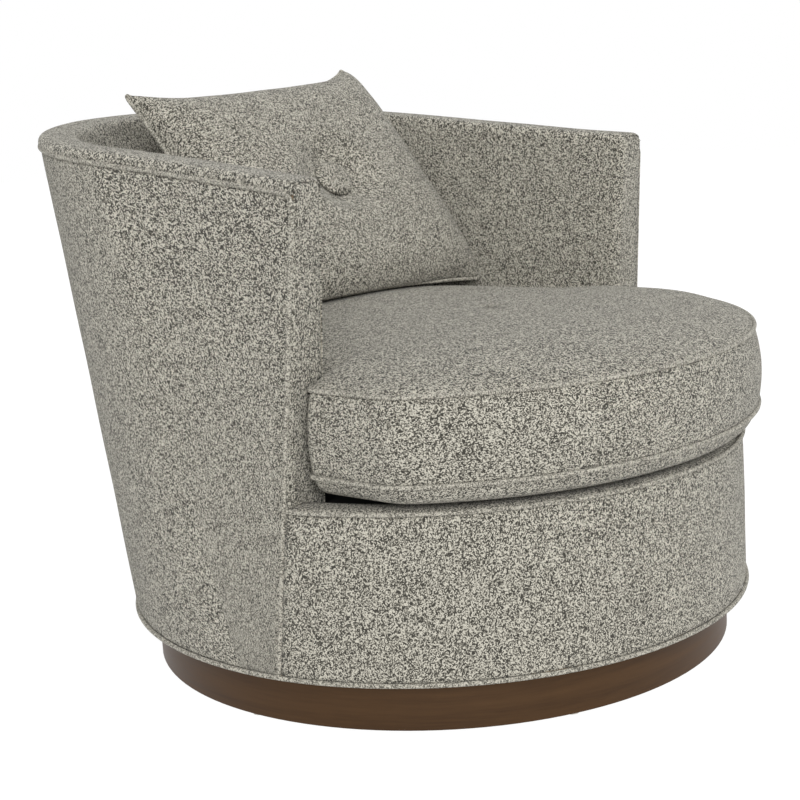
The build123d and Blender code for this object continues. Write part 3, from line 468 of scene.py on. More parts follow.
felt_grey = finish("insulator_felt", {}, felted((0.16, 0.15, 0.14), (0.34, 0.33, 0.31), 420.0, 0.0008))
foam_cream = finish("seat_foam", {}, felted((0.60, 0.52, 0.36), (0.74, 0.67, 0.50), 520.0, 0.0005))
decking = finish("black_decking", {}, felted((0.0035, 0.0035, 0.0035), (0.011, 0.011, 0.011), 900.0, 0.0002))
felt_low, felt_high, foam_low, foam_high, sheet_low = 248.2, 250.8, 251.1, 260.8, 261.05
felt_pad = stacked("felt_pad", deck_outline(45.0, 0.0, 251.0), (
    (0.02, felt_low), (0.6, felt_low), (0.996, felt_low), (1.0, 249.4), (0.997, felt_high), (0.6, felt_high),
    (0.02, felt_high)))
fit(felt_pad, "chair", felt_grey, "felt", "insulator_felt")
deck_pad = stacked("deck_pad", deck_outline(47.5, -0.5, 256.0), (
    (0.02, foam_low), (0.6, foam_low), (0.99, 251.2), (1.0, 253.5), (1.0, 258.0), (0.992, 260.6),
    (0.6, foam_high), (0.02, foam_high)))
fit(deck_pad, "chair", foam_cream, "foam", "deck_foam")
deck_sheet = stacked("deck_sheet", deck_outline(47.0, 0.0, 262.0), (
    (0.02, sheet_low), (0.6, sheet_low), (0.998, sheet_low), (1.0, 261.6), (0.998, deck_top),
    (0.85, deck_top), (0.6, deck_top), (0.02, deck_top)))
fit(deck_sheet, "chair", decking, "decking_cloth", "deck_cloth")

# --- Body padding --------------------------------------------------------------------------
# Foam glued to the arms, the back and the front rail: it runs up the inside, over the rim and
# down to the outside board, and it rounds off the edges that the covers are pulled over.
arm_end = len(roll_depths) + 19
under_cover, over_board, behind_board = 2.2, -5.2, -29.2


def wall_pad(name, rows, half):
    """Foam on the inside of the wall and over the rim, on one side or round both."""
    sections = []
    for station in rows:
        inner = [on_form(inside_form, station, climb, under_cover) for climb in np.linspace(0, 1, 9)]
        top = on_form(outside_form, station, 1.0, over_board)
        shoulder = on_form(outside_form, station, 0.965, over_board)
        deep = [on_form(outside_form, station, climb, behind_board) for climb in np.linspace(0.965, 0.33, 9)]
        over = [
            inner[-1] * (1 - share) + top * share + np.array((0, 0, swell))
            for share, swell in ((0.02, 3.0), (0.14, 6.4), (0.5, 6.8), (0.86, 6.4), (0.98, 3.0))
        ]
        sections.append([*inner, *over, top, shoulder, *deep])
    if half == "both":
        sections = both_sides(sections)
    elif half == "right":
        sections = np.array(sections)[::-1] * (-1, 1, 1)
    return surface(name, sections, ring=True, ends=True)


for side, rows, node in (
    ("left", stations[:arm_end], "left_arm_foam"),
    ("right", stations[:arm_end], "right_arm_foam"),
    ("both", stations[arm_end:], "back_foam"),
):
    pad = fit(wall_pad(node.replace("foam", "pad"), rows, side), "chair", foam_cream, "foam", node)

front_profile = (  # inset and height, up the rail, over the lip and down its inside
    (12.0, 86.0), (2.2, 86.0), (2.2, 170.0), (2.2, 266.0), (6.0, 270.6), (20.0, 271.0), (40.0, 270.8),
    (44.0, 267.0), (44.6, 249.0), (12.0, 249.0), (12.0, 170.0),
)
rail_pad = surface("front_rail_pad", [
    [front_arc(inset, level, share * 0.985) for inset, level in front_profile]
    for share in np.linspace(-1, 1, 97)
], ring=True, ends=True)
fit(rail_pad, "chair", foam_cream, "foam", "front_foam")

# --- Outside cover -------------------------------------------------------------------------
# One wrap of salt-and-pepper tweed, pulled over the outside board from arm front to arm front,
# and sewn to the welt at its ends and along the rim.


def tweed(dark, middle, light, flecks=0.0):
    """Chunky woven tweed: slubs of light and dark yarn packed in slanting rows, with painted shade that
    darkens each slub towards its edge and in the gaps between slubs.
    """

    def paint(start, place):
        cloth = start.node("UVMap", {"uv_map": "cloth"})

        def uneven(scale, output=0):
            spread = {"Vector": cloth, "Scale": scale, "Detail": 2.0}
            return start.node("TexNoise", {"noise_dimensions": "2D"}, spread, output)

        drift = uneven(160.0, 1)
        pulled = start.node(
            "VectorMath", {"operation": "MULTIPLY_ADD"}, {0: drift, 1: (0.003, 0.003, 0.0), 2: cloth})
        slanted = start.node("Mapping", None, {
            "Vector": pulled, "Rotation": (0.0, 0.0, 0.72), "Scale": (880.0, 690.0, 1.0),
        })
        slub = start.node(
            "TexVoronoi", {"voronoi_dimensions": "2D"},
            {"Vector": slanted, "Scale": 1.0, "Randomness": 0.7})
        chance = start.node("SeparateColor", None, {"Color": slub.other(1)})
        fibre = uneven(2200.0)
        tone = chance * 0.9 + fibre * 0.2 + uneven(22.0) * 0.1 - (0.12 + flecks)
        yarn = start.node("ValToRGB", {"stops": (
            (0.14, dark), (0.3, dark), (0.4, middle), (0.5, middle), (0.66, light),
        )}, {"Fac": tone})
        # Painted shade: towards each slub's edge and in the gaps between slubs, where the relief sinks, the
        # colour is mixed towards the dark yarn.
        slub_edge_shade = start.node("MapRange", None, {
            "Value": slub, "From Min": 0.3, "From Max": 0.7, "To Min": 0.0, "To Max": 0.6,
        })
        yarn_with_painted_shade = start.node("Mix", {"data_type": "RGBA"}, {0: slub_edge_shade, 6: yarn, 7: (*dark, 1)}, 2)
        height = fibre * 0.2 + (1.0 - slub) * 0.8 + chance * 0.2
        return {"Base Color": yarn_with_painted_shade, "Roughness": chance * 0.1 + 0.85, "Relief": (height, 0.0006)}

    return paint


cloth_numbers = {"Sheen Weight": 0.12, "Sheen Roughness": 0.5, "Specular IOR Level": 0.2}
tweed_cloth = finish("salt_and_pepper_tweed", cloth_numbers, tweed(
    (0.055, 0.052, 0.043), (0.30, 0.284, 0.238), (0.72, 0.69, 0.592)))
cover_thickness, welt_draw, welt_spread = 1.8, 2.4, 2.6


def near_welt(distance):
    """How far the cloth is drawn in at a distance from a welt's seam."""
    return -welt_draw * math.exp(-max(distance, 0.0) / welt_spread)


def rumpled(grid, depth, patch):
    """The same rows with the slight unevenness of cloth drawn over padding."""
    grid = np.array(grid, float)
    facing = np.cross(np.gradient(grid, axis=0), np.gradient(grid, axis=1))
    facing /= np.linalg.norm(facing, axis=2, keepdims=True) + 1e-9
    swell = np.array([[noise(Vector(point) / patch) for point in row] for row in grid])
    return grid + facing * (swell * depth)[..., None]


welt_drop = 13.5
wrap_climbs = [1 - share for share in (0.0095, 0.013, 0.018, 0.026, 0.04)]
wrap_climbs += list(np.linspace(0.93, 0.05, 26)) + [0.03, 0.018, 0.01, 0.004]
wrap_rows = []
for station in stations:
    row = []
    for climb in wrap_climbs:
        point = on_form(outside_form, station, climb)
        below = rim_height(point[1]) - point[2] - welt_drop
        drawn = near_welt(below) + near_welt(point[2] - 69.0)
        if station[0] == "side" and station[2] == 0.0:
            drawn += near_welt(station[1] - 2.6)
        row.append(on_form(outside_form, station, climb, drawn))
    wrap_rows.append(row)
outside_wrap = surface("outside_wrap", rumpled(both_sides(wrap_rows), 0.7, 90.0))
thicken(outside_wrap, cover_thickness)
fit(outside_wrap, "chair", tweed_cloth, "upholstery_fabric", "outside_cover")

# --- Inside cover --------------------------------------------------------------------------
# A second wrap of the tweed over the foam: from the deck up the inside of the arms and back,
# over the rounded rim and down to the rim welt.
inside_climbs = np.linspace(0, 1, 24)
round_angles = [math.radians(angle) for angle in (15, 30, 45, 60, 75, 90)]


def wall_section(station, sink=0.0):
    """Up the inside of the wall, over the rim and down to its welt. Sink draws the section in
    where the cloth rolls over the wall's end."""
    inner = [on_form(inside_form, station, climb, sink) for climb in inside_climbs]
    crest = on_form(outside_form, station, 1.0)
    across = (crest - inner[-1]) * (1, 1, 0)
    across /= np.linalg.norm(across)
    lift = np.array((0, 0, rim_round - sink))
    edge = [(rim_draw * (1 - math.cos(angle)), math.sin(angle)) for angle in round_angles]
    rising = [inner[-1] + across * draw + lift * up for draw, up in edge]
    falling = [crest - across * draw + lift * up for draw, up in edge[::-1]]
    level = [
        rising[-1] * (1 - share) + falling[0] * share + (0, 0, 1.1 * math.sin(math.pi * share))
        for share in np.linspace(0, 1, 8)[1:-1]
    ]
    skirt = [
        on_form(outside_form, station, 1 - share, near_welt(welt_drop - rim_round - depth))
        for depth, share in ((0.0, 0.0), (2.0, 0.0035), (4.0, 0.007))
    ]
    return [*inner, *rising, *level, *falling, *skirt]


def rolled(depth):
    """How far the wall's end is drawn in at a depth behind the arm front."""
    return rim_round - math.sqrt(max(rim_round**2 - (rim_round - min(depth, rim_round))**2, 0.0))


inside_rows = [
    wall_section(station, rolled(station[1]) if station[0] == "side" else 0.0) for station in stations
]
inside_wrap = surface("inside_wrap", rumpled(both_sides(inside_rows), 1.3, 110.0))
thicken(inside_wrap, cover_thickness)
fit(inside_wrap, "chair", tweed_cloth, "upholstery_fabric", "inside_cover")

# --- Arm fronts ----------------------------------------------------------------------------
# A narrow tweed panel closes each arm's front end. It rolls over onto the rim and the inside,
# and its outer edge is sewn into the welt.
rim_fall = rim_height(outside_form[1][1], rim_round) - foot_level
for side, node, mirror in (("left", "left_arm_front_cover", 1), ("right", "right_arm_front_cover", -1)):
    rolls = [wall_section(("side", depth, 0.0), rolled(depth))[:-3] for depth in (2.6, 1.3, 0.4, 0.0)]
    rim_edge = np.array(rolls[-1])
    run = np.concatenate(([0], np.cumsum(np.linalg.norm(np.diff(rim_edge, axis=0), axis=1))))
    low_climb = (rim_edge[0][2] - foot_level) / rim_fall
    seam = np.array([
        on_form(outside_form, ("side", 0.0, 0.0), low_climb + (1 - low_climb) * share, -1.0)
        for share in run / run[-1]
    ])
    panel = rolls + [rim_edge * (1 - share) + seam * share for share in (0.25, 0.5, 0.75, 1.0)]
    panel = np.array(panel) * (mirror, 1, 1)
    arm_front = surface(side + "_arm_front", panel, facing=(0, -1, 0), cloth=panel[..., [0, 2]] * mm)
    thicken(arm_front, cover_thickness)
    fit(arm_front, "chair", tweed_cloth, "upholstery_fabric", node)

# --- Front cover ---------------------------------------------------------------------------
# Tweed over the padded front rail, from the bottom edge up to the rail's welt. Behind the welt
# a lip of the same tweed turns in under the seat cushion and down to the deck.
front_rows = [(near_welt(level - 70.0), level) for level in (69.5, 72.0, 75.0, 79.0, 85.0)]
rail_height = 203.0
front_rows += [
    (0.8 * math.sin(math.pi * (level - foot_level) / rail_height), level)
    for level in np.linspace(95, 248, 18)
]
front_rows += [(near_welt(267.5 - level), level) for level in (255.0, 260.0, 263.5, 266.0, 267.5)]
front_rows += [
    (-inset, level) for inset, level in (
        (3.0, 268.5), (4.2, 270.0), (5.5, 271.6), (8.0, 272.9), (13.0, 273.7), (22.0, 274.0), (32.0, 273.8),
        (39.0, 272.9), (42.5, 271.2), (44.4, 268.4), (45.0, 265.0), (45.2, 262.6),
    )
]
front_wrap = surface("front_wrap", rumpled([
    [front_arc(-outset, level, share) for outset, level in front_rows]
    for share in np.linspace(-1, 1, 145)
], 0.8, 90.0), facing=(0, -1, 0.2))
thicken(front_wrap, cover_thickness)
fit(front_wrap, "chair", tweed_cloth, "upholstery_fabric", "front_cover")

# --- Welts ---------------------------------------------------------------------------------
# Cord in a bias strip of the tweed, sewn into the seams: up one arm front, round the rim and
# down the other, along the top of the front rail, and round the bottom edge.
# Painted highlight: the welts' tweed is a lighter, calmer copy of the cover's tweed, for the light line
# along each round cord.
welt_tweed_painted_highlight = finish("welt_tweed_lightened_as_painted_highlight", cloth_numbers, tweed(
    (0.13, 0.123, 0.103), (0.36, 0.342, 0.288), (0.68, 0.65, 0.56), -0.05))


def piping(name, path, radius, loop=False, sides=12):
    """A round welt along a line of points."""
    path = np.array(path, float)
    ahead = np.roll(path, -1, axis=0) - np.roll(path, 1, axis=0)
    if not loop:
        ahead[0], ahead[-1] = path[1] - path[0], path[-1] - path[-2]
    ahead /= np.linalg.norm(ahead, axis=1, keepdims=True)
    outwards = np.cross(ahead[0], (0.31, 0.52, 0.79))
    rings = []
    for point, direction in zip(path, ahead):
        outwards = outwards - direction * outwards.dot(direction)
        outwards /= np.linalg.norm(outwards)
        sidewards = np.cross(direction, outwards)
        rings.append([
            point + (outwards * math.cos(angle) + sidewards * math.sin(angle)) * radius
            for angle in np.linspace(0, 2 * math.pi, sides, endpoint=False)
        ])
    return surface(name, rings, ring=True, loop=loop, ends=not loop)


welt_radius, welt_stand = 2.9, 0.6
seam_depth, corner_radius = 2.4, 15.0
upright = [
    on_form(outside_form, ("side", seam_depth, 0.0), climb, welt_stand)
    for climb in np.linspace(0.006, 1 - (welt_drop + corner_radius - rim_round) / rim_fall, 60)
]
corner = []
for angle in np.linspace(0, 90, 9)[1:]:
    swerve = math.radians(angle)
    depth = seam_depth + corner_radius * (1 - math.cos(swerve))
    drop = welt_drop + corner_radius * (1 - math.sin(swerve)) - rim_round
    corner.append(on_form(outside_form, ("side", depth, 0.0), 1 - drop / rim_fall, welt_stand))
rim_stations = [("side", seam_depth + corner_radius, share) for share in np.linspace(0.05, 1, 24)]
rim_stations += [("back", angle, 0.0) for angle in np.linspace(0, 90, 61)[1:]]
along_rim = []
for station in rim_stations:
    crest = on_form(outside_form, station, 1.0)
    climb = 1 - (welt_drop - rim_round) * rim_stretch / (crest[2] - foot_level)
    along_rim.append(on_form(outside_form, station, climb, welt_stand))
rim_piping = piping("rim_piping", both_sides(upright + corner + along_rim), welt_radius)
rail_piping = piping("rail_piping", [
    front_arc(-welt_stand, 270.6, share) for share in np.linspace(-0.996, 0.996, 181)
], welt_radius)
foot = both_sides([on_form(outside_form, station, 0.0, welt_stand) for station in stations])
front_foot = [front_arc(-welt_stand, foot_level, share) for share in np.linspace(1, -1, 161)[1:-1]]
foot = np.concatenate((foot, front_foot))
foot[:, 2] = foot_level + 1.2
foot_piping = piping("foot_piping", foot, welt_radius, loop=True)
for welt, node in ((rim_piping, "rim_welt"), (rail_piping, "rail_welt"), (foot_piping, "bottom_welt")):
    fit(welt, "chair", welt_tweed_painted_highlight, "welt_fabric", node)

# --- Seat cushion core ---------------------------------------------------------------------
# A T-shaped block of foam wrapped in wadding, which fills the loose seat cushion. It rests on
# the deck, and its ears fill the space in front of the arms.
ear_line, front_line = -101.5, -440.0
neck_half, neck_line, cushion_back = 306.0, 145.0, 412.0
low_share, high_share = 0.985, 0.972
under_level, top_level = 262.7, 447.5
low_seam, high_seam = 307.5, 408.5


def arc_points(centre_x, centre_y, reach, start, stop, count):
    return [
        (centre_x + reach * math.cos(angle), centre_y + reach * math.sin(angle))
        for angle in np.linspace(math.radians(start), math.radians(stop), count)
    ]


def cushion_ring(share, level, inset=0.0):
    """The T-shaped outline at a height: round front, ears, bowed neck and round back."""
    radius, half, ear_y = 444.0 - inset, 381.0 - inset, ear_line - inset
    corner, tip, notch = 60.0, 14.0, 12.0
    middle_y = front_line + inset + radius
    corner_x = half - corner
    corner_y = middle_y - math.sqrt((radius - corner) ** 2 - corner_x**2)
    lean = math.degrees(math.atan2(corner_y - middle_y, corner_x))
    line = arc_points(0, middle_y, radius, -90, lean, 44)
    line += arc_points(corner_x, corner_y, corner, lean, 0, 14)[1:]
    line += [(half, y) for y in np.linspace(corner_y, ear_y - tip, 8)[1:]]
    line += arc_points(half - tip, ear_y - tip, tip, 0, 90, 7)[1:]
    front_neck, neck = 325.0 - inset, neck_half - inset
    line += [(x, ear_y) for x in np.linspace(half - tip, front_neck + notch, 5)[1:]]
    line += [
        (front_neck + notch - notch * math.sin(angle), ear_y + notch - notch * math.cos(angle))
        for angle in np.linspace(0, math.pi / 2, 6)[1:]
    ]
    bow, reach = front_neck - neck, neck_line - ear_y
    bow_radius = (bow**2 + reach**2) / (2 * bow)
    for y in np.linspace(ear_y + notch, neck_line, 22)[1:]:
        line.append((neck + bow_radius - math.sqrt(bow_radius**2 - (neck_line - y) ** 2), y))
    back = cushion_back - inset - neck_line
    for angle in np.linspace(0, math.pi / 2, 50)[1:]:
        line.append((neck * math.cos(angle), neck_line + back * math.sin(angle)))
    line = np.array(line)
    line = np.concatenate((line, (line * (-1, 1))[-2:0:-1]))
    for _ in range(int(240 * max(0.0, 0.955 - share))):
        line = line * 0.5 + (np.roll(line, 1, axis=0) + np.roll(line, -1, axis=0)) * 0.25
    rounding = max(0.0, 1 - share / 0.75)
    away = np.maximum(np.hypot(line[:, 0], line[:, 1] - ear_line), 1)
    oval = np.stack((line[:, 0] / away * 360, ear_line + (line[:, 1] - ear_line) / away * 400), axis=1)
    line = line * (1 - rounding) + oval * rounding
    placed = np.empty((len(line), 3))
    placed[:, 0] = line[:, 0] * share
    placed[:, 1] = ear_line + (line[:, 1] - ear_line) * share
    placed[:, 2] = level
    return placed


def eased(value, table):
    """Reads a smooth curve drawn through a table of points."""
    xs, ys = zip(*table)
    slopes = np.gradient(ys, xs)
    index = min(max(int(np.searchsorted(xs, value)) - 1, 0), len(xs) - 2)
    span = xs[index + 1] - xs[index]
    t = min(max((value - xs[index]) / span, 0.0), 1.0)
    return (
        (2 * t**3 - 3 * t**2 + 1) * ys[index] + (t**3 - 2 * t**2 + t) * span * slopes[index]
        + (3 * t**2 - 2 * t**3) * ys[index + 1] + (t**3 - t**2) * span * slopes[index + 1]
    )


crown_fall = (
    (0.0, 0.0), (0.30, 0.01), (0.55, 0.09), (0.72, 0.26), (0.84, 0.50), (0.92, 0.745), (0.955, 0.89),
    (0.972, 1.0),
)
belly_rise = (
    (0.0, 0.0), (0.55, 0.0), (0.70, 0.02), (0.76, 0.27), (0.80, 0.335), (0.88, 0.365), (0.93, 0.46),
    (0.965, 0.67), (0.985, 1.0),
)


def boxing_share(share):
    """How full the boxing stands between its lower seam at 0 and its upper seam at 1."""
    return low_share + (high_share - low_share) * share**2 + 0.016 * math.sin(math.pi * share)


def cushion_layers(inset):
    """The whole cushion from the middle of its underside to the middle of its top."""
    low, high = under_level + inset, top_level - inset
    layers = [(share, low + (low_seam - low) * eased(share, belly_rise))
              for share in (0.01, 0.3, 0.6, 0.72, 0.8, 0.88, 0.94, 0.97)]
    layers += [(boxing_share(share), low_seam + (high_seam - low_seam) * share)
               for share in np.linspace(0, 1, 9)]
    layers += [(share, high - (high - high_seam) * eased(share, crown_fall))
               for share in (0.965, 0.94, 0.88, 0.8, 0.72, 0.6, 0.3, 0.01)]
    return [cushion_ring(share, level, inset) for share, level in layers]


def laid_flat(rings, middle):
    """A panel's cloth spread flat: every point as far from the middle as along the cloth."""
    rings = np.array(rings, float)
    if np.ptp(rings[0][:, 0]) > np.ptp(rings[-1][:, 0]):
        return laid_flat(rings[::-1], middle)[::-1]
    ways = rings[..., :2] - middle
    near = np.linalg.norm(ways, axis=2, keepdims=True)
    run = np.concatenate((near[:1, :, 0], np.linalg.norm(np.diff(rings, axis=0), axis=2)))
    return ways / near * np.cumsum(run, axis=0)[..., None] * mm


core_rings = cushion_layers(2.4)
cushion_foam = surface("cushion_foam", core_rings, ring=True, ends=True)
fit(cushion_foam, "seat_cushion", foam_cream, "foam", "cushion_core")

# --- Seat cushion cover --------------------------------------------------------------------
# The loose cushion's tweed case: a crowned top panel, a boxing strip and a belly panel, sewn
# together over two welts. Its underside is flat only where it lies on the deck.
top_rings = []
for share in (
    0.972, 0.969, 0.964, 0.957, 0.948, 0.936, 0.92, 0.9, 0.87, 0.83, 0.78, 0.72, 0.65, 0.56, 0.46, 0.34, 0.2,
    0.08, 0.01,
):
    level = top_level - (top_level - high_seam) * eased(share, crown_fall)
    top_rings.append(cushion_ring(share, level - (1.6 if share > 0.971 else 0.0)))
for ring in top_rings[1:]:
    for point in ring:
        point[2] += 1.6 * noise(Vector(point) / 120.0)

box_rings = []
for share in np.linspace(0, 1, 25):
    level = low_seam + (high_seam - low_seam) * share
    pinch = 2.0 * (math.exp(-(level - low_seam) / 3) + math.exp(-(high_seam - level) / 3))
    box_rings.append(cushion_ring(boxing_share(share), level, pinch))

belly_rings = []
for share in (
    0.01, 0.2, 0.4, 0.6, 0.68, 0.72, 0.76, 0.8, 0.84, 0.88, 0.91, 0.94, 0.96, 0.97, 0.977, 0.982, 0.985,
):
    level = under_level + (low_seam - under_level) * eased(share, belly_rise)
    belly_rings.append(cushion_ring(share, level + (1.2 if share > 0.984 else 0.0)))

seat_middle, case_thickness = (0.0, ear_line), 1.4
for name, node, rings, cloth, facing in (
    ("cushion_top", "cushion_top_panel", top_rings, laid_flat(top_rings, seat_middle), (0, 0, 1)),
    ("cushion_box", "cushion_boxing", box_rings, None, None),
    ("cushion_belly", "cushion_bottom_panel", belly_rings, laid_flat(belly_rings, seat_middle), (0, 0, -1)),
):
    panel = thicken(surface(name, rings, ring=True, cloth=cloth, facing=facing), case_thickness)
    fit(panel, "seat_cushion", tweed_cloth, "upholstery_fabric", node)

for share, level, name, node in (
    (high_share, high_seam, "cushion_upper_piping", "cushion_top_welt"),
    (low_share, low_seam, "cushion_lower_piping", "cushion_bottom_welt"),
):
    welt = piping(name, cushion_ring(share, level, -welt_stand), welt_radius, loop=True)
    fit(welt, "seat_cushion", welt_tweed_painted_highlight, "welt_fabric", node)

# --- Cushion zip ---------------------------------------------------------------------------
# A zip in the middle of the boxing's back: woven tapes, two rows of metal teeth and a slider
# with its pull, which hangs at one end.
tape_cloth = finish("zip_tape", {}, felted((0.10, 0.095, 0.085), (0.17, 0.165, 0.15), 1200.0, 0.0002))
brass = finish("zip_metal", {"Metallic": 1.0}, mottled(
    ((0.36, 0.33, 0.27), (0.52, 0.49, 0.42)), (300.0, 300.0, 300.0), 0.34, 0.00003))


def back_y(x, proud):
    return neck_line + (cushion_back - neck_line + proud) * math.sqrt(1 - (x / neck_half) ** 2)


zip_level = 358.0
tape_section = ((-1.5, -4.0), (0.3, -4.0), (0.6, -1.6), (0.2, 0.0), (0.6, 1.6), (0.3, 4.0), (-1.5, 4.0))
zip_tape = surface("zip_tape_strip", [
    [(x, back_y(x, proud), zip_level + side) for proud, side in tape_section]
    for x in np.linspace(-150, 150, 61)
], ring=True, ends=True)
fit(zip_tape, "seat_cushion", tape_cloth, "zip_tape", "cushion_zip")
tooth_sides = ((0, 1, 3, 2), (4, 6, 7, 5), (0, 4, 5, 1), (2, 3, 7, 6), (0, 2, 6, 4), (1, 5, 7, 3))
tooth_points, tooth_faces = [], []
for index, x in enumerate(np.linspace(-146, 140, 120)):
    y, level = back_y(x, 0.55), zip_level + (0.5 if index % 2 else -0.5)
    tooth_faces += [tuple(len(tooth_points) + corner for corner in side) for side in tooth_sides]
    tooth_points += [
        (x + dx * 0.75, y + dy * 0.5, level + dz * 1.1)
        for dx in (-1, 1) for dy in (-1, 1) for dz in (-1, 1)
    ]
tooth_mesh = bpy.data.meshes.new("zip_teeth")
tooth_mesh.from_pydata([tuple(np.array(point) * mm) for point in tooth_points], [], tooth_faces)
zip_teeth = bpy.data.objects.new("zip_teeth", tooth_mesh)
bpy.context.scene.collection.objects.link(zip_teeth)
zip_teeth.data.materials.append(brass)
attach(zip_teeth, "seat_cushion")
dress(brass, "zip_slider")

# --- Pillow --------------------------------------------------------------------------------
# A loose knife-edge pillow leans back in the seat on one of its sides: two square tweed panels
# over a feather insert, a welt in the seam, and a covered button on each face, tied through.
pillow_yaw, pillow_lean, pillow_roll = (math.radians(angle) for angle in (-8.0, 38.0, 2.6))
pillow_half = 213.0
tuft_depth, tuft_reach, button_radius = 25.0, 80.0, 29.0
level_way = Vector((math.cos(pillow_yaw), math.sin(pillow_yaw), 0))
leaning_way = Vector((
    -math.sin(pillow_lean) * math.sin(pillow_yaw),
    math.sin(pillow_lean) * math.cos(pillow_yaw),
    math.cos(pillow_lean),
))
pillow_face = level_way.cross(leaning_way)
pillow_across = level_way * math.cos(pillow_roll) + leaning_way * math.sin(pillow_roll)
pillow_axes = np.array((pillow_across, pillow_face.cross(pillow_across), pillow_face))
pillow_middle = np.array((94.0, 271.5, 589.5))


def crown_height(x, y):
    """How high the seat cushion's top lies under a point of the pillow."""
    low, high = 0.02, 1.0
    for _ in range(16):
        share = (low + high) / 2
        across = abs(x) / share / neck_half
        along = ((y - ear_line) / share + ear_line - neck_line) / (cushion_back - neck_line)
        if math.hypot(across, max(along, 0.0)) > 1:
            low = share
        else:
            high = share
    return top_level - (top_level - high_seam) * eased(share, crown_fall)


def in_seat(points, above=2.4):
    """From the pillow's own plane to its place in the chair, flattened where it lies on the seat
    and held off the wall. The filling has settled a little towards the lower edge."""
    points = np.array(points, float)
    _, _, wall_half, low_waist, low_back = inside_form[0]
    _, _, _, high_waist, high_back = inside_form[1]
    across, along = points[..., 0] / pillow_half, points[..., 1] / pillow_half
    settled = np.clip(1 - across**2, 0, 1) * np.clip(1 - along**2, 0, 1)
    points[..., 0] += 11.0 * settled - 4.0 * (1 - across) * (1 + along) + 2.0 * (1 + across) * (1 - along)
    points[..., 1] -= 13.0 * settled
    placed = points @ pillow_axes + pillow_middle
    for point in placed.reshape(-1, 3):
        if point[2] < 480.0:
            lowest = crown_height(point[0], point[1]) + above
            clear = point[2] - lowest
            point[2] = lowest + (clear + math.sqrt(clear * clear + 20.0)) / 2
        climb = (point[2] - inside_form[2]) / (rim_height(234, rim_round) - inside_form[2])
        waist = low_waist + (high_waist - low_waist) * climb
        back = low_back + (high_back - low_back) * climb
        if climb < 1.04 and point[1] > waist:
            reach = math.hypot(point[0] / (wall_half - above), (point[1] - waist) / (back - waist - above))
            if reach > 1:
                point[0] /= reach
                point[1] = waist + (point[1] - waist) / reach
    return placed


def pillow_point(a, b, inset=0.0, side=1):
    """On a face of the stuffed pillow; a and b run from -1 to 1 between its sides."""
    half = pillow_half - inset
    x = a * (half - (4.0 if a > 0 else 14.0) * (1 - b**6))
    y = b * (half - (34.0 if b > 0 else 20.0) * (1 - a**6))
    corner = 1 - 0.05 * abs(a * b) ** 13
    pressed = corner - 0.06 * (max(0.0, (1 - a) / 2) * max(0.0, (1 - b) / 2)) ** 1.5
    power, share, loft = (4.4, 0.5, 63.0) if side > 0 else (2.3, 0.6, 49.0)
    plump = (max(0.0, 1 - abs(a) ** power) * max(0.0, 1 - abs(b) ** power)) ** share
    height = (loft - inset) * plump
    reach = math.hypot(x, y)
    dip = min(max((tuft_reach - reach) / (tuft_reach - button_radius + 6), 0.0), 1.0)
    height -= tuft_depth * dip * dip * (3 - 2 * dip)
    turn = math.atan2(y, x)
    folds = math.exp(-abs(reach - 46) / 24.0) * 1.6 * math.cos(5 * turn + 0.7)
    height += folds * plump
    return x * pressed, y * pressed, side * height


def round_the_seam(steps):
    """Once round the square seam, with more points towards the corners."""
    edge = np.sin(np.linspace(-math.pi / 2, math.pi / 2, steps))[:-1]
    walk = [(1.0, value) for value in edge] + [(-value, 1.0) for value in edge]
    return walk + [(-1.0, -value) for value in edge] + [(value, -1.0) for value in edge]


def pillow_rings(inset, shares, steps):
    """Square rings from the middle of one face, over the seam, to the middle of the other."""
    walk = round_the_seam(steps)
    return [
        [pillow_point(a * share, b * share, inset, side) for a, b in walk]
        for side, run in ((1, shares), (-1, shares[-2::-1])) for share in run
    ]


insert_rings = pillow_rings(2.6, np.sin(np.linspace(0.02, math.pi / 2, 16)), 16)
feather = finish("pillow_filling", {}, felted((0.62, 0.60, 0.55), (0.78, 0.76, 0.71), 380.0, 0.0006))
pillow_core = surface("pillow_feather_insert", in_seat(insert_rings, 3.4), ring=True, ends=True)
fit(pillow_core, "pillow", feather, "pillow_filling", "pillow_insert")

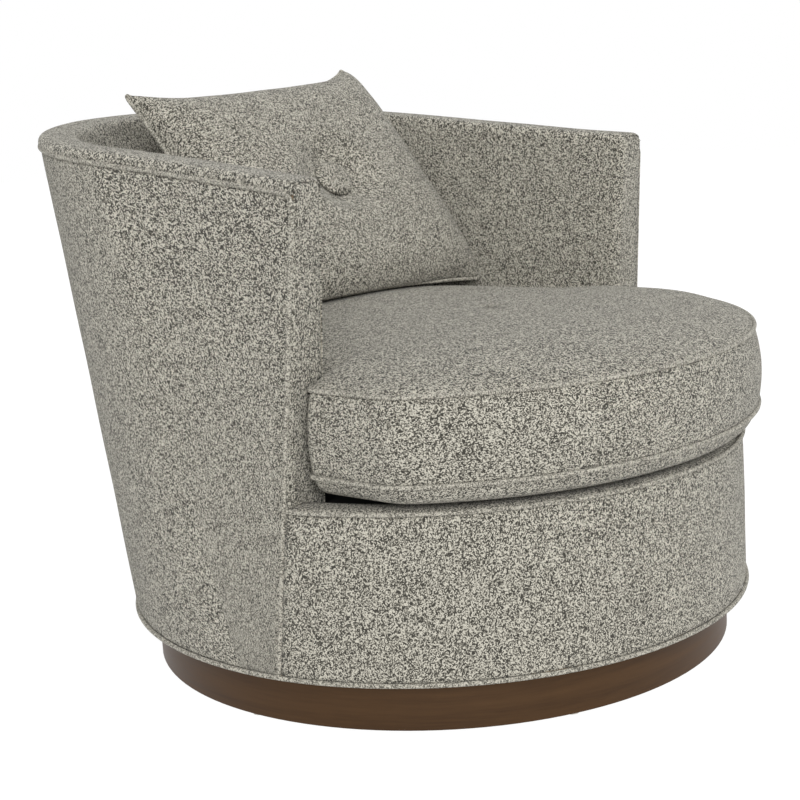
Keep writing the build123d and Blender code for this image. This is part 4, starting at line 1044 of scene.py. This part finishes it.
pillow_tweed = finish("pillow_tweed", cloth_numbers, tweed(
    (0.052, 0.049, 0.04), (0.29, 0.274, 0.23), (0.70, 0.67, 0.575)))
case_rings = pillow_rings(0.0, np.sin(np.linspace(0.008, math.pi / 2, 52)), 44)
for ring in case_rings:
    for index, (x, y, z) in enumerate(ring):
        rise = 1.5 * noise(Vector((x, y, z * 2)) / 70.0) * min(abs(z) / 20.0, 1.0)
        ring[index] = (x, y, z + math.copysign(rise, z) if z else z)
halfway = len(case_rings) // 2
case_cloth = np.concatenate((
    laid_flat(case_rings[:halfway + 1], (0.0, 0.0)), laid_flat(case_rings[halfway:], (0.0, 0.0))[1:]))
pillow_case = surface("pillow_case", in_seat(case_rings), ring=True, ends=True, cloth=case_cloth)
fit(pillow_case, "pillow", pillow_tweed, "pillow_fabric", "pillow_cover")

seam_walk = np.array([pillow_point(a, b) for a, b in round_the_seam(60)]) * (1, 1, 0)
for _ in range(3):
    seam_walk = seam_walk * 0.5 + (np.roll(seam_walk, 1, axis=0) + np.roll(seam_walk, -1, axis=0)) * 0.25
seam_radius = 3.1
pillow_piping = piping("pillow_piping", in_seat(seam_walk * 1.004, 4.6), seam_radius, loop=True)
fit(pillow_piping, "pillow", welt_tweed_painted_highlight, "welt_fabric", "pillow_edge_welt")

button_profile = (
    (0.3, 51.7), (6.0, 51.6), (12.0, 51.2), (18.0, 50.4), (23.0, 49.1), (26.5, 47.3), (28.6, 44.9),
    (button_radius, 43.1), (28.0, 41.8), (20.0, 41.5), (0.3, 41.5),
)
for name, node, side in (
    ("front_covered_button", "front_button", 1),
    ("back_covered_button", "back_button", -1),
):
    rings = [
        [(reach * math.cos(angle), reach * math.sin(angle), side * height)
         for angle in np.linspace(0, 2 * math.pi, 48, endpoint=False)]
        for reach, height in button_profile
    ]
    button = surface(name, in_seat(rings), ring=True, ends=True,
                     cloth=[[(x * mm, y * mm) for x, y, _ in ring] for ring in rings])
    fit(button, "pillow", pillow_tweed, "pillow_fabric", node)

twine_yarn = finish("button_twine", {}, felted((0.40, 0.36, 0.28), (0.56, 0.52, 0.42), 2400.0, 0.0001))
ply_radius = 0.5
for name, phase in (("button_twine_ply_1", 0), ("button_twine_ply_2", math.pi)):
    path = [
        (ply_radius * math.cos(turn + phase), ply_radius * math.sin(turn + phase), level)
        for turn, level in zip(np.linspace(0, 16 * math.pi, 160), np.linspace(-39.5, 39.5, 160))
    ]
    fit(piping(name, in_seat(path), ply_radius, sides=8), "pillow", twine_yarn, "twine", "button_twine")
